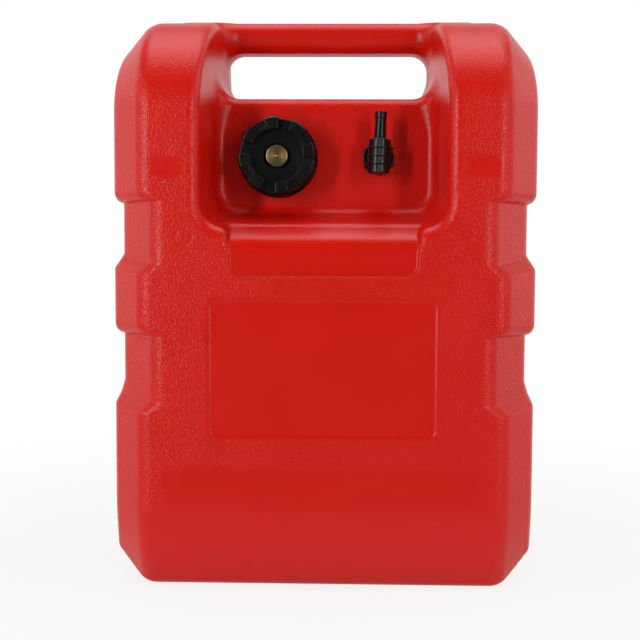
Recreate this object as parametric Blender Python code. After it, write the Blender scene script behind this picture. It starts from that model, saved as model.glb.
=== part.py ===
# Portable outboard fuel tank of about 28 litres, standing on its base.
# Metres, +Z up, front towards -Y. The origin is under the middle of the base.
# Depths are counted from the front face, heights from the base.
# The filler and the outlet each have an empty on the recess floor, whose +Z points out of the tank.

import math

import bmesh
import bpy
from mathutils import Vector

MM = 0.001

# Clearances
GAP = 0.3 * MM
OVERRUN = 12 * MM
WELD = 0.005 * MM

# Tank body
TANK_WIDTH = 348 * MM
TANK_HEIGHT = 480 * MM
TANK_DEPTH = 230 * MM
TANK_WALL = 3.5 * MM
EDGE_CHAMFER = 28 * MM
EDGE_ROUND = 6 * MM
BASE_CORNER_RADIUS = 25 * MM
BASE_SWEEP_HEIGHT = 75 * MM
BASE_SWEEP_DEPTH = 20 * MM
BASE_EDGE_ROUND = 4 * MM
SHOULDER_DROP = 3 * MM
SHOULDER_RISE = 86.5 * MM
CREST_HALF_DEPTH = 5 * MM
CREST_CHAMFER = 2.5 * MM

# Strap grooves round the sides
GROOVE_DEPTH = 7 * MM
GROOVE_CHAMFER_DEPTH = 8 * MM
GROOVE_ROLL = 9 * MM
LOWER_GROOVE_SHARE = 0.3125
LOWER_GROOVE_RAMP = 20 * MM
LOWER_GROOVE_FLOOR = 38.5 * MM
UPPER_GROOVE_SHARE = 0.546875
UPPER_GROOVE_RAMP = 12.5 * MM
UPPER_GROOVE_FLOOR = 41 * MM

# Recess that holds the filler and the outlet, and the saddle under the carrying bar
RECESS_DEPTH = 65 * MM
RECESS_HEIGHT = 114.3 * MM
RECESS_LIP_HALF_WIDTH = 102.6 * MM
RECESS_SIDE_DRAFT = math.radians(8.1)
RECESS_SILL_DRAFT = math.radians(14)
RECESS_CORNER_RADIUS = 20 * MM
RECESS_FLOOR_FILLET = 8 * MM
RECESS_LIP_ROUND = 8 * MM
SADDLE_DROP = 72 * MM
SADDLE_ROLL = 10 * MM
SADDLE_CORNER_RADIUS = 15 * MM
SADDLE_BACK_ROLL = 22 * MM

# Carrying bar
BAR_DEPTH = 36 * MM
BAR_HEIGHT = 26 * MM
BAR_ROUND = 12.5 * MM
BAR_END_FILLET = 15 * MM
BAR_END_DROP = 4 * MM

# Scooped step below the recess
SCOOP_HALF_WIDTH = 76.5 * MM
SCOOP_HEIGHT = 37.7 * MM
SCOOP_DEPTH = 2.5 * MM
SCOOP_SLOPE_HEIGHT = 11 * MM
SCOOP_SLOPE_DEPTH = 12 * MM
SCOOP_CORNER_RADIUS = 10 * MM
SCOOP_SIDE_SLOPE = 1.5 * MM

# Smooth label panel
LABEL_HALF_WIDTH = 91.5 * MM
LABEL_FOOT_SHARE = 0.2635
LABEL_SCOOP_GAP = 18.5 * MM
LABEL_DEPTH = 0.8 * MM
LABEL_CORNER_RADIUS = 6.5 * MM

# Filler neck and cap
FILLER_X = -40 * MM
NECK_OUTER_RADIUS = 25 * MM
NECK_BORE_RADIUS = 21 * MM
NECK_LENGTH = 15 * MM
CAP_GASKET_THICKNESS = 2 * MM
CAP_SKIRT_RADIUS = 33.3 * MM
CAP_SILL_CLEARANCE = 12.8 * MM
CAP_SKIRT_THICKNESS = 3 * MM
CAP_SKIRT_LIFT = 2.5 * MM
CAP_DRUM_RADIUS = 29.6 * MM
CAP_LUG_RADIUS = 32 * MM
CAP_LUG_INNER_RADIUS = 22.8 * MM
CAP_HEIGHT = 30 * MM
CAP_RIM_DROP = 3.8 * MM
CAP_NOTCH_OUTER_RADIUS = 30.4 * MM
CAP_NOTCH_INNER_RADIUS = 26.2 * MM
CAP_NOTCH_DEPTH = 4.5 * MM
CAP_EDGE_BEVEL = 0.8 * MM
CAP_CEILING = 3.4 * MM
CAP_DISH_FLOOR_RADIUS = 12.5 * MM
CAP_LUG_COUNT = 4
CAP_LUG_TURN = math.radians(31)
CAP_LUG_HALF_ANGLE = math.radians(34)
CAP_NOTCH_HALF_ANGLE = math.radians(10.5)
CAP_NOTCH_TURN = math.radians(-1.5)
CAP_STEP_ANGLE = math.radians(1)

# Air vent in the middle of the cap
VENT_BUSH_RADIUS = 5.5 * MM
VENT_BUSH_FLANGE_RADIUS = 8 * MM
VENT_BUSH_FLANGE_THICKNESS = 1.5 * MM
VENT_BUSH_DEPTH = 10 * MM
VENT_SEAT_THICKNESS = 2 * MM
VENT_HOLE_RADIUS = 1.2 * MM
VENT_SEAL_RADIUS = 2.4 * MM
VENT_SEAL_THICKNESS = 1.4 * MM
VENT_STEM_RADIUS = 2.7 * MM
VENT_WASHER_RADIUS = 6.2 * MM
VENT_WASHER_THICKNESS = 1 * MM
VENT_HEAD_RADIUS = 8.8 * MM
VENT_HEAD_THICKNESS = 4.5 * MM
VENT_HEAD_BEVEL = 0.5 * MM

# Fuel outlet
OUTLET_X = 45 * MM
INSERT_RADIUS = 11.7 * MM
INSERT_FLANGE_RADIUS = 15 * MM
INSERT_FLANGE_THICKNESS = 3 * MM
OUTLET_GASKET_RADIUS = 12.4 * MM
OUTLET_GASKET_THICKNESS = 2 * MM
HEX_ACROSS_FLATS = 26 * MM
HEX_THICKNESS = 7 * MM
HEX_BEVEL = 1.2 * MM
HEX_TURN = math.radians(6.5)
HEX_SIDES = 6
SHANK_RADIUS = 9 * MM
SHANK_LENGTH = 25 * MM
SPIGOT_RADIUS = 5 * MM
SPIGOT_LENGTH = 8.2 * MM
SPIGOT_BEAD = 0.5 * MM
SPIGOT_BEAD_LENGTH = 1.6 * MM
FUEL_BORE_RADIUS = 2.8 * MM
ORING_WIDTH = 1.6 * MM
ORING_THICKNESS = 0.9 * MM
BARREL_RADIUS = 9.2 * MM
BARREL_RIB = 0.7 * MM
BARREL_RIB_WIDTH = 1.4 * MM
BARREL_LENGTH = 28 * MM
BARREL_RIB_SHARES = (0.27, 0.5, 0.74)
BARREL_BEVEL = 0.6 * MM
SOCKET_RADIUS = 8 * MM
SOCKET_REACH = 1.2 * MM
BARB_LENGTH = 23 * MM
BARB_STEM_RADIUS = 4.6 * MM
BARB_BEAD_RADIUS = 5 * MM
BARB_BEAD_LENGTH = 5.4 * MM
ELBOW_TURN = math.radians(-2.1)

# Pickup tube and its strainer
PICKUP_RADIUS = 4.5 * MM
PICKUP_WALL = 1.2 * MM
PICKUP_SOCKET_DEPTH = 10 * MM
PICKUP_END_CLEARANCE = 12 * MM
STRAINER_CLEARANCE = 4 * MM
STRAINER_COLLAR_LENGTH = 7 * MM
STRAINER_COLLAR_RADIUS = 6.4 * MM
STRAINER_FLANGE_RADIUS = 8.4 * MM
STRAINER_FLANGE_THICKNESS = 1.5 * MM
STRAINER_POST_RADIUS = 0.7 * MM
STRAINER_POST_COUNT = 4
STRAINER_POST_SIDES = 8
STRAINER_MESH_THICKNESS = 0.6 * MM
STRAINER_LENGTH = 22 * MM

# Smoothness of rounded forms
CORNER_STEPS = 2
CHAMFER_STEPS = 3
SWEEP_STEPS = 6
EDGE_STEPS = 3
SHOULDER_STEPS = 9
BAR_STEPS = 4
CAP_GAP_STEPS = 1
CAP_LUG_STEPS = 3
ROUND_SIDES = 40
SMALL_ROUND_SIDES = 28
SHARP_ANGLE = math.radians(30)
FLAT_ANGLE = math.radians(89)
SHARED_EDGE_SHARE = 0.49
OPEN_EDGE_SHARE = 0.98

FRONT_Y = -TANK_DEPTH / 2
FLOOR_Y = FRONT_Y + RECESS_DEPTH
SHOULDER_SPRING = TANK_HEIGHT - SHOULDER_DROP - SHOULDER_RISE
LOWER_GROOVE_FOOT = TANK_HEIGHT * LOWER_GROOVE_SHARE
UPPER_GROOVE_FOOT = TANK_HEIGHT * UPPER_GROOVE_SHARE
SADDLE_HEIGHT = TANK_HEIGHT - SADDLE_DROP
SADDLE_START = SADDLE_HEIGHT - SADDLE_ROLL
RECESS_SILL_HEIGHT = SADDLE_HEIGHT - RECESS_HEIGHT
SCOOP_FOOT_HEIGHT = RECESS_SILL_HEIGHT - SCOOP_HEIGHT
LABEL_FOOT_HEIGHT = TANK_HEIGHT * LABEL_FOOT_SHARE
SILL_RISE = RECESS_DEPTH * math.tan(RECESS_SILL_DRAFT)
FILLER_HEIGHT = RECESS_SILL_HEIGHT + SILL_RISE + CAP_SILL_CLEARANCE + CAP_SKIRT_RADIUS

FINISHES = {
    "red_polyethylene": ((0.50, 0.010, 0.006), 0.42, 0.0),
    "black_nylon": ((0.012, 0.012, 0.013), 0.35, 0.0),
    "turned_brass": ((0.42, 0.29, 0.13), 0.30, 1.0),
    "nitrile_rubber": ((0.02, 0.02, 0.02), 0.70, 0.0),
    "white_nylon": ((0.78, 0.76, 0.70), 0.45, 0.0),
    "steel_mesh": ((0.55, 0.55, 0.56), 0.35, 1.0),
}


def clear_scene():
    for thing in list(bpy.data.objects):
        bpy.data.objects.remove(thing, do_unlink=True)


def finish_material(name):
    colour, roughness, metallic = FINISHES[name]
    material = bpy.data.materials.get(name) or bpy.data.materials.new(name)
    material.use_nodes = True
    shader = material.node_tree.nodes["Principled BSDF"]
    shader.inputs["Base Color"].default_value = (*colour, 1)
    shader.inputs["Roughness"].default_value = roughness
    shader.inputs["Metallic"].default_value = metallic
    return material


def spread(start, end, count):
    return [start + (end - start) * step / count for step in range(count + 1)]


def rounded(corners, steps=CORNER_STEPS):
    # Closed outline through corners given as (x, y) or (x, y, radius)
    outline = []
    for index, corner in enumerate(corners):
        here = Vector(corner[:2])
        if len(corner) == 2 or corner[2] <= 0:
            outline.append(here)
            continue
        previous = corners[index - 1]
        following = corners[(index + 1) % len(corners)]
        back = Vector(previous[:2]) - here
        ahead = Vector(following[:2]) - here
        half = back.angle(ahead) / 2
        back_share = SHARED_EDGE_SHARE if len(previous) == 3 else OPEN_EDGE_SHARE
        ahead_share = SHARED_EDGE_SHARE if len(following) == 3 else OPEN_EDGE_SHARE
        if half > FLAT_ANGLE:
            outline += [here] * (steps + 1)
            continue
        reach = min(corner[2] / math.tan(half), back.length * back_share, ahead.length * ahead_share)
        bisector = (back.normalized() + ahead.normalized()).normalized()
        centre = here + bisector * reach / math.cos(half)
        first = here + back.normalized() * reach - centre
        last = here + ahead.normalized() * reach - centre
        begin = math.atan2(first.y, first.x)
        sweep = math.remainder(math.atan2(last.y, last.x) - begin, math.tau)
        for angle in spread(begin, begin + sweep, steps):
            outline.append(centre + first.length * Vector((math.cos(angle), math.sin(angle))))
    return outline


def skin(rows, closed_rows=False):
    # Faces between rows of points; the first and last row are capped, or joined to each other
    shape = bmesh.new()
    grid = [[shape.verts.new(point) for point in row] for row in rows]
    pairs = list(zip(grid, grid[1:]))
    if closed_rows:
        pairs.append((grid[-1], grid[0]))
    else:
        shape.faces.new(reversed(grid[0]))
        shape.faces.new(grid[-1])
    for lower, upper in pairs:
        for index in range(len(lower)):
            following = (index + 1) % len(lower)
            shape.faces.new((lower[index], lower[following], upper[following], upper[index]))
    bmesh.ops.remove_doubles(shape, verts=shape.verts, dist=WELD)
    bmesh.ops.dissolve_degenerate(shape, edges=shape.edges, dist=WELD)
    loose = [edge for edge in shape.edges if not edge.link_faces]
    bmesh.ops.delete(shape, geom=loose, context="EDGES")
    bmesh.ops.connect_verts_nonplanar(shape, faces=shape.faces)
    bmesh.ops.recalc_face_normals(shape, faces=shape.faces)
    return shape


def turned(profile, sides=ROUND_SIDES):
    # Closed profile of (radius, height) turned about local Z
    rows = []
    for step in range(sides):
        angle = math.tau * step / sides
        across, along = math.cos(angle), math.sin(angle)
        rows.append([(radius * across, radius * along, height) for radius, height in profile])
    return skin(rows, closed_rows=True)


def ring_profile(inner, outer, low, high):
    return [(inner, low), (outer, low), (outer, high), (inner, high)]


def disc_profile(radius, low, high, bevel=0):
    return [(0, low), (radius, low), (radius, high - bevel), (radius - bevel, high), (0, high)]


def add_object(name, shape, frame=None, finish=None, turn=(0, 0, 0), place=(0, 0, 0)):
    mesh = bpy.data.meshes.new(name)
    shape.to_mesh(mesh)
    shape.free()
    mesh.shade_smooth()
    mesh.set_sharp_from_angle(angle=SHARP_ANGLE)
    thing = bpy.data.objects.new(name, mesh)
    bpy.context.scene.collection.objects.link(thing)
    thing.parent = frame
    thing.rotation_euler = turn
    thing.location = place
    if finish:
        mesh.materials.append(finish_material(finish))
    return thing


def combine(target, form, operation):
    form.hide_render = True
    form.display_type = "WIRE"
    step = target.modifiers.new(form.name, "BOOLEAN")
    step.operation = operation
    step.solver = "EXACT"
    step.object = form


def add_frame(name, place):
    # An empty on the recess floor: local +Z points out of the tank, local +Y points up
    frame = bpy.data.objects.new(name, None)
    bpy.context.scene.collection.objects.link(frame)
    frame.location = place
    frame.rotation_euler = (math.pi / 2, 0, 0)
    return frame


def base_pull(height, inset, rise, reach):
    # How far the rounded base draws a wall in at a height
    if height >= rise:
        return 0
    share = min((rise - height) / (rise - inset), 1)
    return (reach - inset) * (1 - math.sqrt(1 - share * share))


def half_depth_at(height, inset, drawn_in):
    # Half depth of the side outline, swept back to the base and arched over the shoulders
    reach = TANK_DEPTH / 2 - inset - drawn_in
    if height <= SHOULDER_SPRING:
        radius = (BASE_SWEEP_HEIGHT ** 2 + BASE_SWEEP_DEPTH ** 2) / (2 * BASE_SWEEP_DEPTH)
        below = max(BASE_SWEEP_HEIGHT - height, 0)
        reach -= base_pull(height, inset, BASE_EDGE_ROUND, BASE_EDGE_ROUND)
        return reach - radius + math.sqrt(radius ** 2 - below ** 2)
    share = min((height - SHOULDER_SPRING) / (SHOULDER_RISE - inset - drawn_in), 1)
    crest = max(CREST_HALF_DEPTH - inset - drawn_in, GAP)
    return crest + (reach - crest) * math.sqrt(1 - share * share)


def groove_levels(foot, ramp, floor):
    # Heights through one strap groove, each with its share of the groove's depth
    levels = [(foot, 0), (foot + ramp, 1)]
    for angle in spread(0, math.pi / 2, EDGE_STEPS):
        height = foot + ramp + floor + GROOVE_ROLL * (1 - math.cos(angle))
        levels.append((height, 1 - math.sin(angle)))
    return levels


def tank_levels(inset):
    # Heights of the horizontal sections from base to crest
    levels = []
    for angle in spread(0, math.pi / 2, SWEEP_STEPS):
        height = BASE_CORNER_RADIUS - (BASE_CORNER_RADIUS - inset) * math.cos(angle)
        levels.append((height, 0))
    levels.append(((BASE_CORNER_RADIUS + BASE_SWEEP_HEIGHT) / 2, 0))
    levels.append((BASE_SWEEP_HEIGHT, 0))
    levels += groove_levels(LOWER_GROOVE_FOOT, LOWER_GROOVE_RAMP, LOWER_GROOVE_FLOOR)
    levels += groove_levels(UPPER_GROOVE_FOOT, UPPER_GROOVE_RAMP, UPPER_GROOVE_FLOOR)
    for angle in spread(0, math.pi / 2, SHOULDER_STEPS):
        levels.append((SHOULDER_SPRING + (SHOULDER_RISE - inset) * math.sin(angle), 0))
    return levels


def tank_form(inset):
    # The edge chamfer runs up the four corners and over the shoulders
    rows = []
    for height, share in tank_levels(inset):
        side_pull = base_pull(height, inset, BASE_CORNER_RADIUS, BASE_CORNER_RADIUS)
        half_width = TANK_WIDTH / 2 - inset - side_pull - share * GROOVE_DEPTH
        edge = TANK_WIDTH / 2 - EDGE_CHAMFER - inset * (math.sqrt(2) - 1)
        edge = min(edge - share * GROOVE_CHAMFER_DEPTH * math.sqrt(2), half_width - GAP)
        below_crest = SHOULDER_SPRING + SHOULDER_RISE - inset - height
        chamfer = max(min(half_width - edge, CREST_CHAMFER + below_crest), GAP)
        corner = []
        for drawn_in in spread(0, chamfer, CHAMFER_STEPS):
            corner.append((edge + drawn_in, half_depth_at(height, inset, drawn_in)))
        edge_round = EDGE_ROUND - inset
        corner[0] = (*corner[0], edge_round)
        corner[-1] = (*corner[-1], edge_round)
        section = []
        for side, end in ((1, 1), (-1, 1), (-1, -1), (1, -1)):
            points = [(side * point[0], end * point[1], *point[2:]) for point in corner]
            section += reversed(points) if side == end else points
        rows.append([(x, y, height) for x, y in rounded(section)])
    return skin(rows)


def trough_section(depth, half_width, bottom, radius, ledge=0, knee=0):
    # Upright U across the tank, wider by the ledge above the handhold's lower corners
    top = TANK_HEIGHT + OVERRUN
    ledge_foot = SADDLE_HEIGHT + SADDLE_CORNER_RADIUS + RECESS_FLOOR_FILLET
    knee = knee or (bottom + radius + ledge_foot) / 2
    half = [(-half_width - ledge, top), (-half_width - ledge, ledge_foot)]
    half += [(-half_width, knee), (-half_width, bottom, radius)]
    corners = half + [(-corner[0], *corner[1:]) for corner in reversed(half)]
    return [(x, FRONT_Y + depth, z) for x, z in rounded(corners, EDGE_STEPS)]


def recess_form(grow):
    # The recess and the saddle behind it as one trough from front to back
    def wall(depth):
        inward = min(depth, TANK_DEPTH - depth)
        return RECESS_LIP_HALF_WIDTH - math.tan(RECESS_SIDE_DRAFT) * inward

    def sill(depth):
        return RECESS_SILL_HEIGHT + math.tan(RECESS_SILL_DRAFT) * depth

    def recess_ring(depth, offset, ledge=0):
        return trough_section(depth, wall(depth) + offset, sill(depth) - offset,
                              RECESS_CORNER_RADIUS + offset, ledge, SADDLE_START - grow)

    def saddle_ring(depth, offset, bottom):
        return trough_section(depth, wall(depth) + offset, bottom, SADDLE_CORNER_RADIUS + grow)

    rows = [recess_ring(-OVERRUN, RECESS_LIP_ROUND)]
    for angle in spread(math.pi / 2, 0, EDGE_STEPS):
        reach = RECESS_LIP_ROUND - grow
        depth = RECESS_LIP_ROUND - reach * math.sin(angle)
        rows.append(recess_ring(depth, RECESS_LIP_ROUND - reach * math.cos(angle)))
    for angle in spread(0, math.pi / 2, EDGE_STEPS):
        reach = RECESS_FLOOR_FILLET + grow
        depth = RECESS_DEPTH - RECESS_FLOOR_FILLET + reach * math.sin(angle)
        offset = reach * math.cos(angle) - RECESS_FLOOR_FILLET
        rows.append(recess_ring(depth, offset, grow - offset))
    for angle in spread(0, math.pi / 2, EDGE_STEPS):
        reach = SADDLE_ROLL - grow
        depth = RECESS_DEPTH + SADDLE_ROLL - reach * math.cos(angle)
        rows.append(saddle_ring(depth, grow, SADDLE_START + reach * math.sin(angle)))
    rows.append(saddle_ring(TANK_DEPTH / 2, grow, SADDLE_HEIGHT - grow))
    for angle in spread(math.pi / 2, 0, EDGE_STEPS):
        reach = SADDLE_BACK_ROLL - grow
        depth = TANK_DEPTH - SADDLE_BACK_ROLL + reach * math.cos(angle)
        bottom = SADDLE_HEIGHT - SADDLE_BACK_ROLL + reach * math.sin(angle)
        rows.append(saddle_ring(depth, grow, bottom))
    rows.append(saddle_ring(TANK_DEPTH + OVERRUN, grow, SADDLE_HEIGHT - SADDLE_BACK_ROLL))
    return skin(rows)


def bar_form(inset):
    # The carrying bar, flared at both ends and run on into the shoulders' drafted walls
    embed = math.tan(RECESS_SIDE_DRAFT) * (BAR_DEPTH / 2 + BAR_END_FILLET) + inset + GAP
    wall = RECESS_LIP_HALF_WIDTH - math.tan(RECESS_SIDE_DRAFT) * TANK_DEPTH / 2
    flare = BAR_END_FILLET + inset
    ends = [(wall + embed, BAR_END_FILLET)]
    for angle in spread(math.pi / 2, 0, BAR_STEPS):
        spare = min(flare * (1 - math.cos(angle)), BAR_END_FILLET)
        ends.append((wall - BAR_END_FILLET + flare * math.sin(angle), spare))
    rows = []
    for x, spare in [(-x, spare) for x, spare in ends] + list(reversed(ends)):
        half_depth = BAR_DEPTH / 2 - inset + spare
        low = TANK_HEIGHT - BAR_HEIGHT + inset - spare
        high = TANK_HEIGHT - inset - BAR_END_DROP * spare / BAR_END_FILLET
        radius = BAR_ROUND - inset
        crown = radius + spare
        section = [(-half_depth, low, radius), (half_depth, low, radius)]
        section += [(half_depth, high, crown), (-half_depth, high, crown)]
        rows.append([(x, y, z) for y, z in rounded(section, EDGE_STEPS)])
    return skin(rows)


def scoop_form(grow):
    # Shallow step under the recess, whose upper edge slopes back into it
    top = RECESS_SILL_HEIGHT + RECESS_CORNER_RADIUS
    slope_foot = RECESS_SILL_HEIGHT - SCOOP_SLOPE_HEIGHT
    stations = [(-OVERRUN, 0, SCOOP_FOOT_HEIGHT), (0, 0, SCOOP_FOOT_HEIGHT)]
    stations += [(SCOOP_DEPTH, SCOOP_SIDE_SLOPE, SCOOP_FOOT_HEIGHT + SCOOP_SIDE_SLOPE)]
    stations += [(SCOOP_DEPTH, SCOOP_SIDE_SLOPE, slope_foot)]
    stations += [(SCOOP_DEPTH + SCOOP_SLOPE_DEPTH, SCOOP_SIDE_SLOPE, RECESS_SILL_HEIGHT)]
    rows = []
    for depth, pull, foot in stations:
        half_width = SCOOP_HALF_WIDTH - pull + grow
        foot -= grow
        radius = SCOOP_CORNER_RADIUS - pull + grow
        section = [(-half_width, top), (-half_width, foot, radius)]
        section += [(half_width, foot, radius), (half_width, top)]
        rows.append([(x, FRONT_Y + depth + grow, z) for x, z in rounded(section, EDGE_STEPS)])
    return skin(rows)


def label_form():
    top = SCOOP_FOOT_HEIGHT - LABEL_SCOOP_GAP
    section = [(-LABEL_HALF_WIDTH, LABEL_FOOT_HEIGHT), (LABEL_HALF_WIDTH, LABEL_FOOT_HEIGHT)]
    section += [(LABEL_HALF_WIDTH, top), (-LABEL_HALF_WIDTH, top)]
    outline = rounded([(x, z, LABEL_CORNER_RADIUS) for x, z in section], EDGE_STEPS)
    return skin([[(x, FRONT_Y + depth, z) for x, z in outline] for depth in (-OVERRUN, LABEL_DEPTH)])


def build_tank(filler, outlet):
    tank = add_object("tank_shell", tank_form(0), finish="red_polyethylene")
    fuel_space = add_object("fuel_space_form", tank_form(TANK_WALL))
    combine(fuel_space, add_object("recess_wall_form", recess_form(TANK_WALL)), "DIFFERENCE")
    combine(fuel_space, add_object("scoop_wall_form", scoop_form(TANK_WALL)), "DIFFERENCE")
    combine(fuel_space, add_object("bar_hollow_form", bar_form(TANK_WALL)), "UNION")

    combine(tank, add_object("recess_form", recess_form(0)), "DIFFERENCE")
    combine(tank, add_object("bar_form", bar_form(0)), "UNION")
    combine(tank, add_object("scoop_form", scoop_form(0)), "DIFFERENCE")
    combine(tank, add_object("label_form", label_form()), "DIFFERENCE")
    neck = disc_profile(NECK_OUTER_RADIUS, -TANK_WALL / 2, NECK_LENGTH, CAP_EDGE_BEVEL)
    combine(tank, add_object("neck_form", turned(neck), filler), "UNION")
    hole = disc_profile(INSERT_RADIUS + GAP, -TANK_WALL - OVERRUN, OVERRUN)
    combine(tank, add_object("outlet_hole_form", turned(hole), outlet), "DIFFERENCE")
    combine(tank, fuel_space, "DIFFERENCE")
    bore = disc_profile(NECK_BORE_RADIUS, -TANK_WALL - OVERRUN, NECK_LENGTH + OVERRUN)
    combine(tank, add_object("neck_bore_form", turned(bore), filler), "DIFFERENCE")


def cap_profile(kind):
    # Section of the cap at one angle: through a lug, through its notch or through a gap
    low = CAP_SKIRT_LIFT
    inside = NECK_OUTER_RADIUS + GAP
    ceiling = NECK_LENGTH + GAP + CAP_GASKET_THICKNESS + GAP
    dish_floor = ceiling + CAP_CEILING
    rim = CAP_HEIGHT - CAP_RIM_DROP
    outer = {"lug": CAP_LUG_RADIUS, "notch": CAP_NOTCH_OUTER_RADIUS, "gap": CAP_DRUM_RADIUS}[kind]
    outer_top = {"lug": CAP_HEIGHT, "notch": CAP_HEIGHT - CAP_NOTCH_DEPTH, "gap": rim}[kind]
    inner_top = rim if kind == "gap" else CAP_HEIGHT
    notch_wall = CAP_NOTCH_INNER_RADIUS + CAP_EDGE_BEVEL / 2
    skirt_top = low + CAP_SKIRT_THICKNESS
    shoulder = skirt_top + CAP_SKIRT_RADIUS - CAP_LUG_RADIUS
    return [
        (inside, low),
        (CAP_SKIRT_RADIUS, low),
        (CAP_SKIRT_RADIUS, skirt_top),
        (CAP_LUG_RADIUS, shoulder),
        (outer, shoulder + CAP_EDGE_BEVEL),
        (outer, outer_top - CAP_EDGE_BEVEL),
        (outer - CAP_EDGE_BEVEL, outer_top),
        (notch_wall, outer_top),
        (CAP_NOTCH_INNER_RADIUS, inner_top),
        (CAP_LUG_INNER_RADIUS + CAP_EDGE_BEVEL, inner_top),
        (CAP_LUG_INNER_RADIUS, inner_top - CAP_EDGE_BEVEL),
        (CAP_LUG_INNER_RADIUS - CAP_EDGE_BEVEL, rim - CAP_EDGE_BEVEL),
        (CAP_DISH_FLOOR_RADIUS, dish_floor),
        (VENT_BUSH_RADIUS + GAP, dish_floor),
        (VENT_BUSH_RADIUS + GAP, ceiling),
        (inside, ceiling),
    ]


def cap_form():
    pitch = math.tau / CAP_LUG_COUNT
    notch_low = CAP_NOTCH_TURN - CAP_NOTCH_HALF_ANGLE
    notch_high = CAP_NOTCH_TURN + CAP_NOTCH_HALF_ANGLE
    rows = []
    for lug in range(CAP_LUG_COUNT):
        centre = CAP_LUG_TURN + lug * pitch
        stretches = [
            ("gap", -pitch / 2, -CAP_LUG_HALF_ANGLE - CAP_STEP_ANGLE, CAP_GAP_STEPS),
            ("lug", -CAP_LUG_HALF_ANGLE, notch_low - CAP_STEP_ANGLE, CAP_LUG_STEPS),
            ("notch", notch_low, notch_high, CAP_LUG_STEPS),
            ("lug", notch_high + CAP_STEP_ANGLE, CAP_LUG_HALF_ANGLE, CAP_LUG_STEPS),
            ("gap", CAP_LUG_HALF_ANGLE + CAP_STEP_ANGLE, pitch / 2, CAP_GAP_STEPS),
        ]
        for kind, begin, end, steps in stretches:
            angles = spread(begin, end, steps)
            if end == pitch / 2:
                angles.pop()
            for angle in angles:
                across = math.cos(centre + angle)
                along = math.sin(centre + angle)
                profile = cap_profile(kind)
                rows.append([(radius * across, radius * along, height) for radius, height in profile])
    return skin(rows, closed_rows=True)


def build_cap(filler):
    add_object("filler_cap", cap_form(), filler, "black_nylon")
    low = NECK_LENGTH + GAP
    gasket = ring_profile(NECK_BORE_RADIUS, NECK_OUTER_RADIUS, low, low + CAP_GASKET_THICKNESS)
    add_object("cap_gasket", turned(gasket), filler, "nitrile_rubber")


def build_vent(filler):
    ceiling = NECK_LENGTH + GAP + CAP_GASKET_THICKNESS + GAP
    bush_top = ceiling + CAP_CEILING
    bush_low = bush_top - VENT_BUSH_DEPTH
    seat = bush_low + VENT_SEAT_THICKNESS
    bore = VENT_STEM_RADIUS + GAP
    flange_low = ceiling - GAP - VENT_BUSH_FLANGE_THICKNESS
    bush = [(VENT_HOLE_RADIUS, bush_low), (VENT_BUSH_RADIUS, bush_low)]
    bush += [(VENT_BUSH_RADIUS, flange_low), (VENT_BUSH_FLANGE_RADIUS, flange_low)]
    bush += [(VENT_BUSH_FLANGE_RADIUS, ceiling - GAP), (VENT_BUSH_RADIUS, ceiling - GAP)]
    bush += [(VENT_BUSH_RADIUS, bush_top), (bore, bush_top), (bore, seat), (VENT_HOLE_RADIUS, seat)]
    add_object("vent_bush", turned(bush, SMALL_ROUND_SIDES), filler, "turned_brass")

    seal = disc_profile(VENT_SEAL_RADIUS, seat + GAP, seat + GAP + VENT_SEAL_THICKNESS)
    add_object("vent_seal", turned(seal, SMALL_ROUND_SIDES), filler, "nitrile_rubber")

    washer_low = bush_top + GAP
    washer_high = washer_low + VENT_WASHER_THICKNESS
    washer = ring_profile(VENT_STEM_RADIUS + GAP, VENT_WASHER_RADIUS, washer_low, washer_high)
    add_object("vent_washer", turned(washer, SMALL_ROUND_SIDES), filler, "nitrile_rubber")

    stem_low = seat + GAP + VENT_SEAL_THICKNESS + GAP
    head_low = washer_high + GAP
    head_high = head_low + VENT_HEAD_THICKNESS
    screw = [(0, stem_low), (VENT_STEM_RADIUS, stem_low), (VENT_STEM_RADIUS, head_low)]
    screw += [(VENT_HEAD_RADIUS - VENT_HEAD_BEVEL, head_low)]
    screw += [(VENT_HEAD_RADIUS, head_low + VENT_HEAD_BEVEL)]
    screw += [(VENT_HEAD_RADIUS, head_high - VENT_HEAD_BEVEL)]
    screw += [(VENT_HEAD_RADIUS - VENT_HEAD_BEVEL, head_high), (0, head_high)]
    add_object("vent_screw", turned(screw), filler, "turned_brass")


def hex_form(low, high):
    # Hexagon with its front edges turned down to a cone
    apothem = HEX_ACROSS_FLATS / 2
    corner = apothem / math.cos(math.pi / HEX_SIDES)
    rows = []
    for height, radius in ((low, corner), (high - HEX_BEVEL, corner), (high, apothem)):
        angles = [math.tau * (side + 1 / 2) / HEX_SIDES for side in range(HEX_SIDES)]
        rows.append([(radius * math.cos(angle), radius * math.sin(angle), height) for angle in angles])
    return skin(rows)


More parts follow.
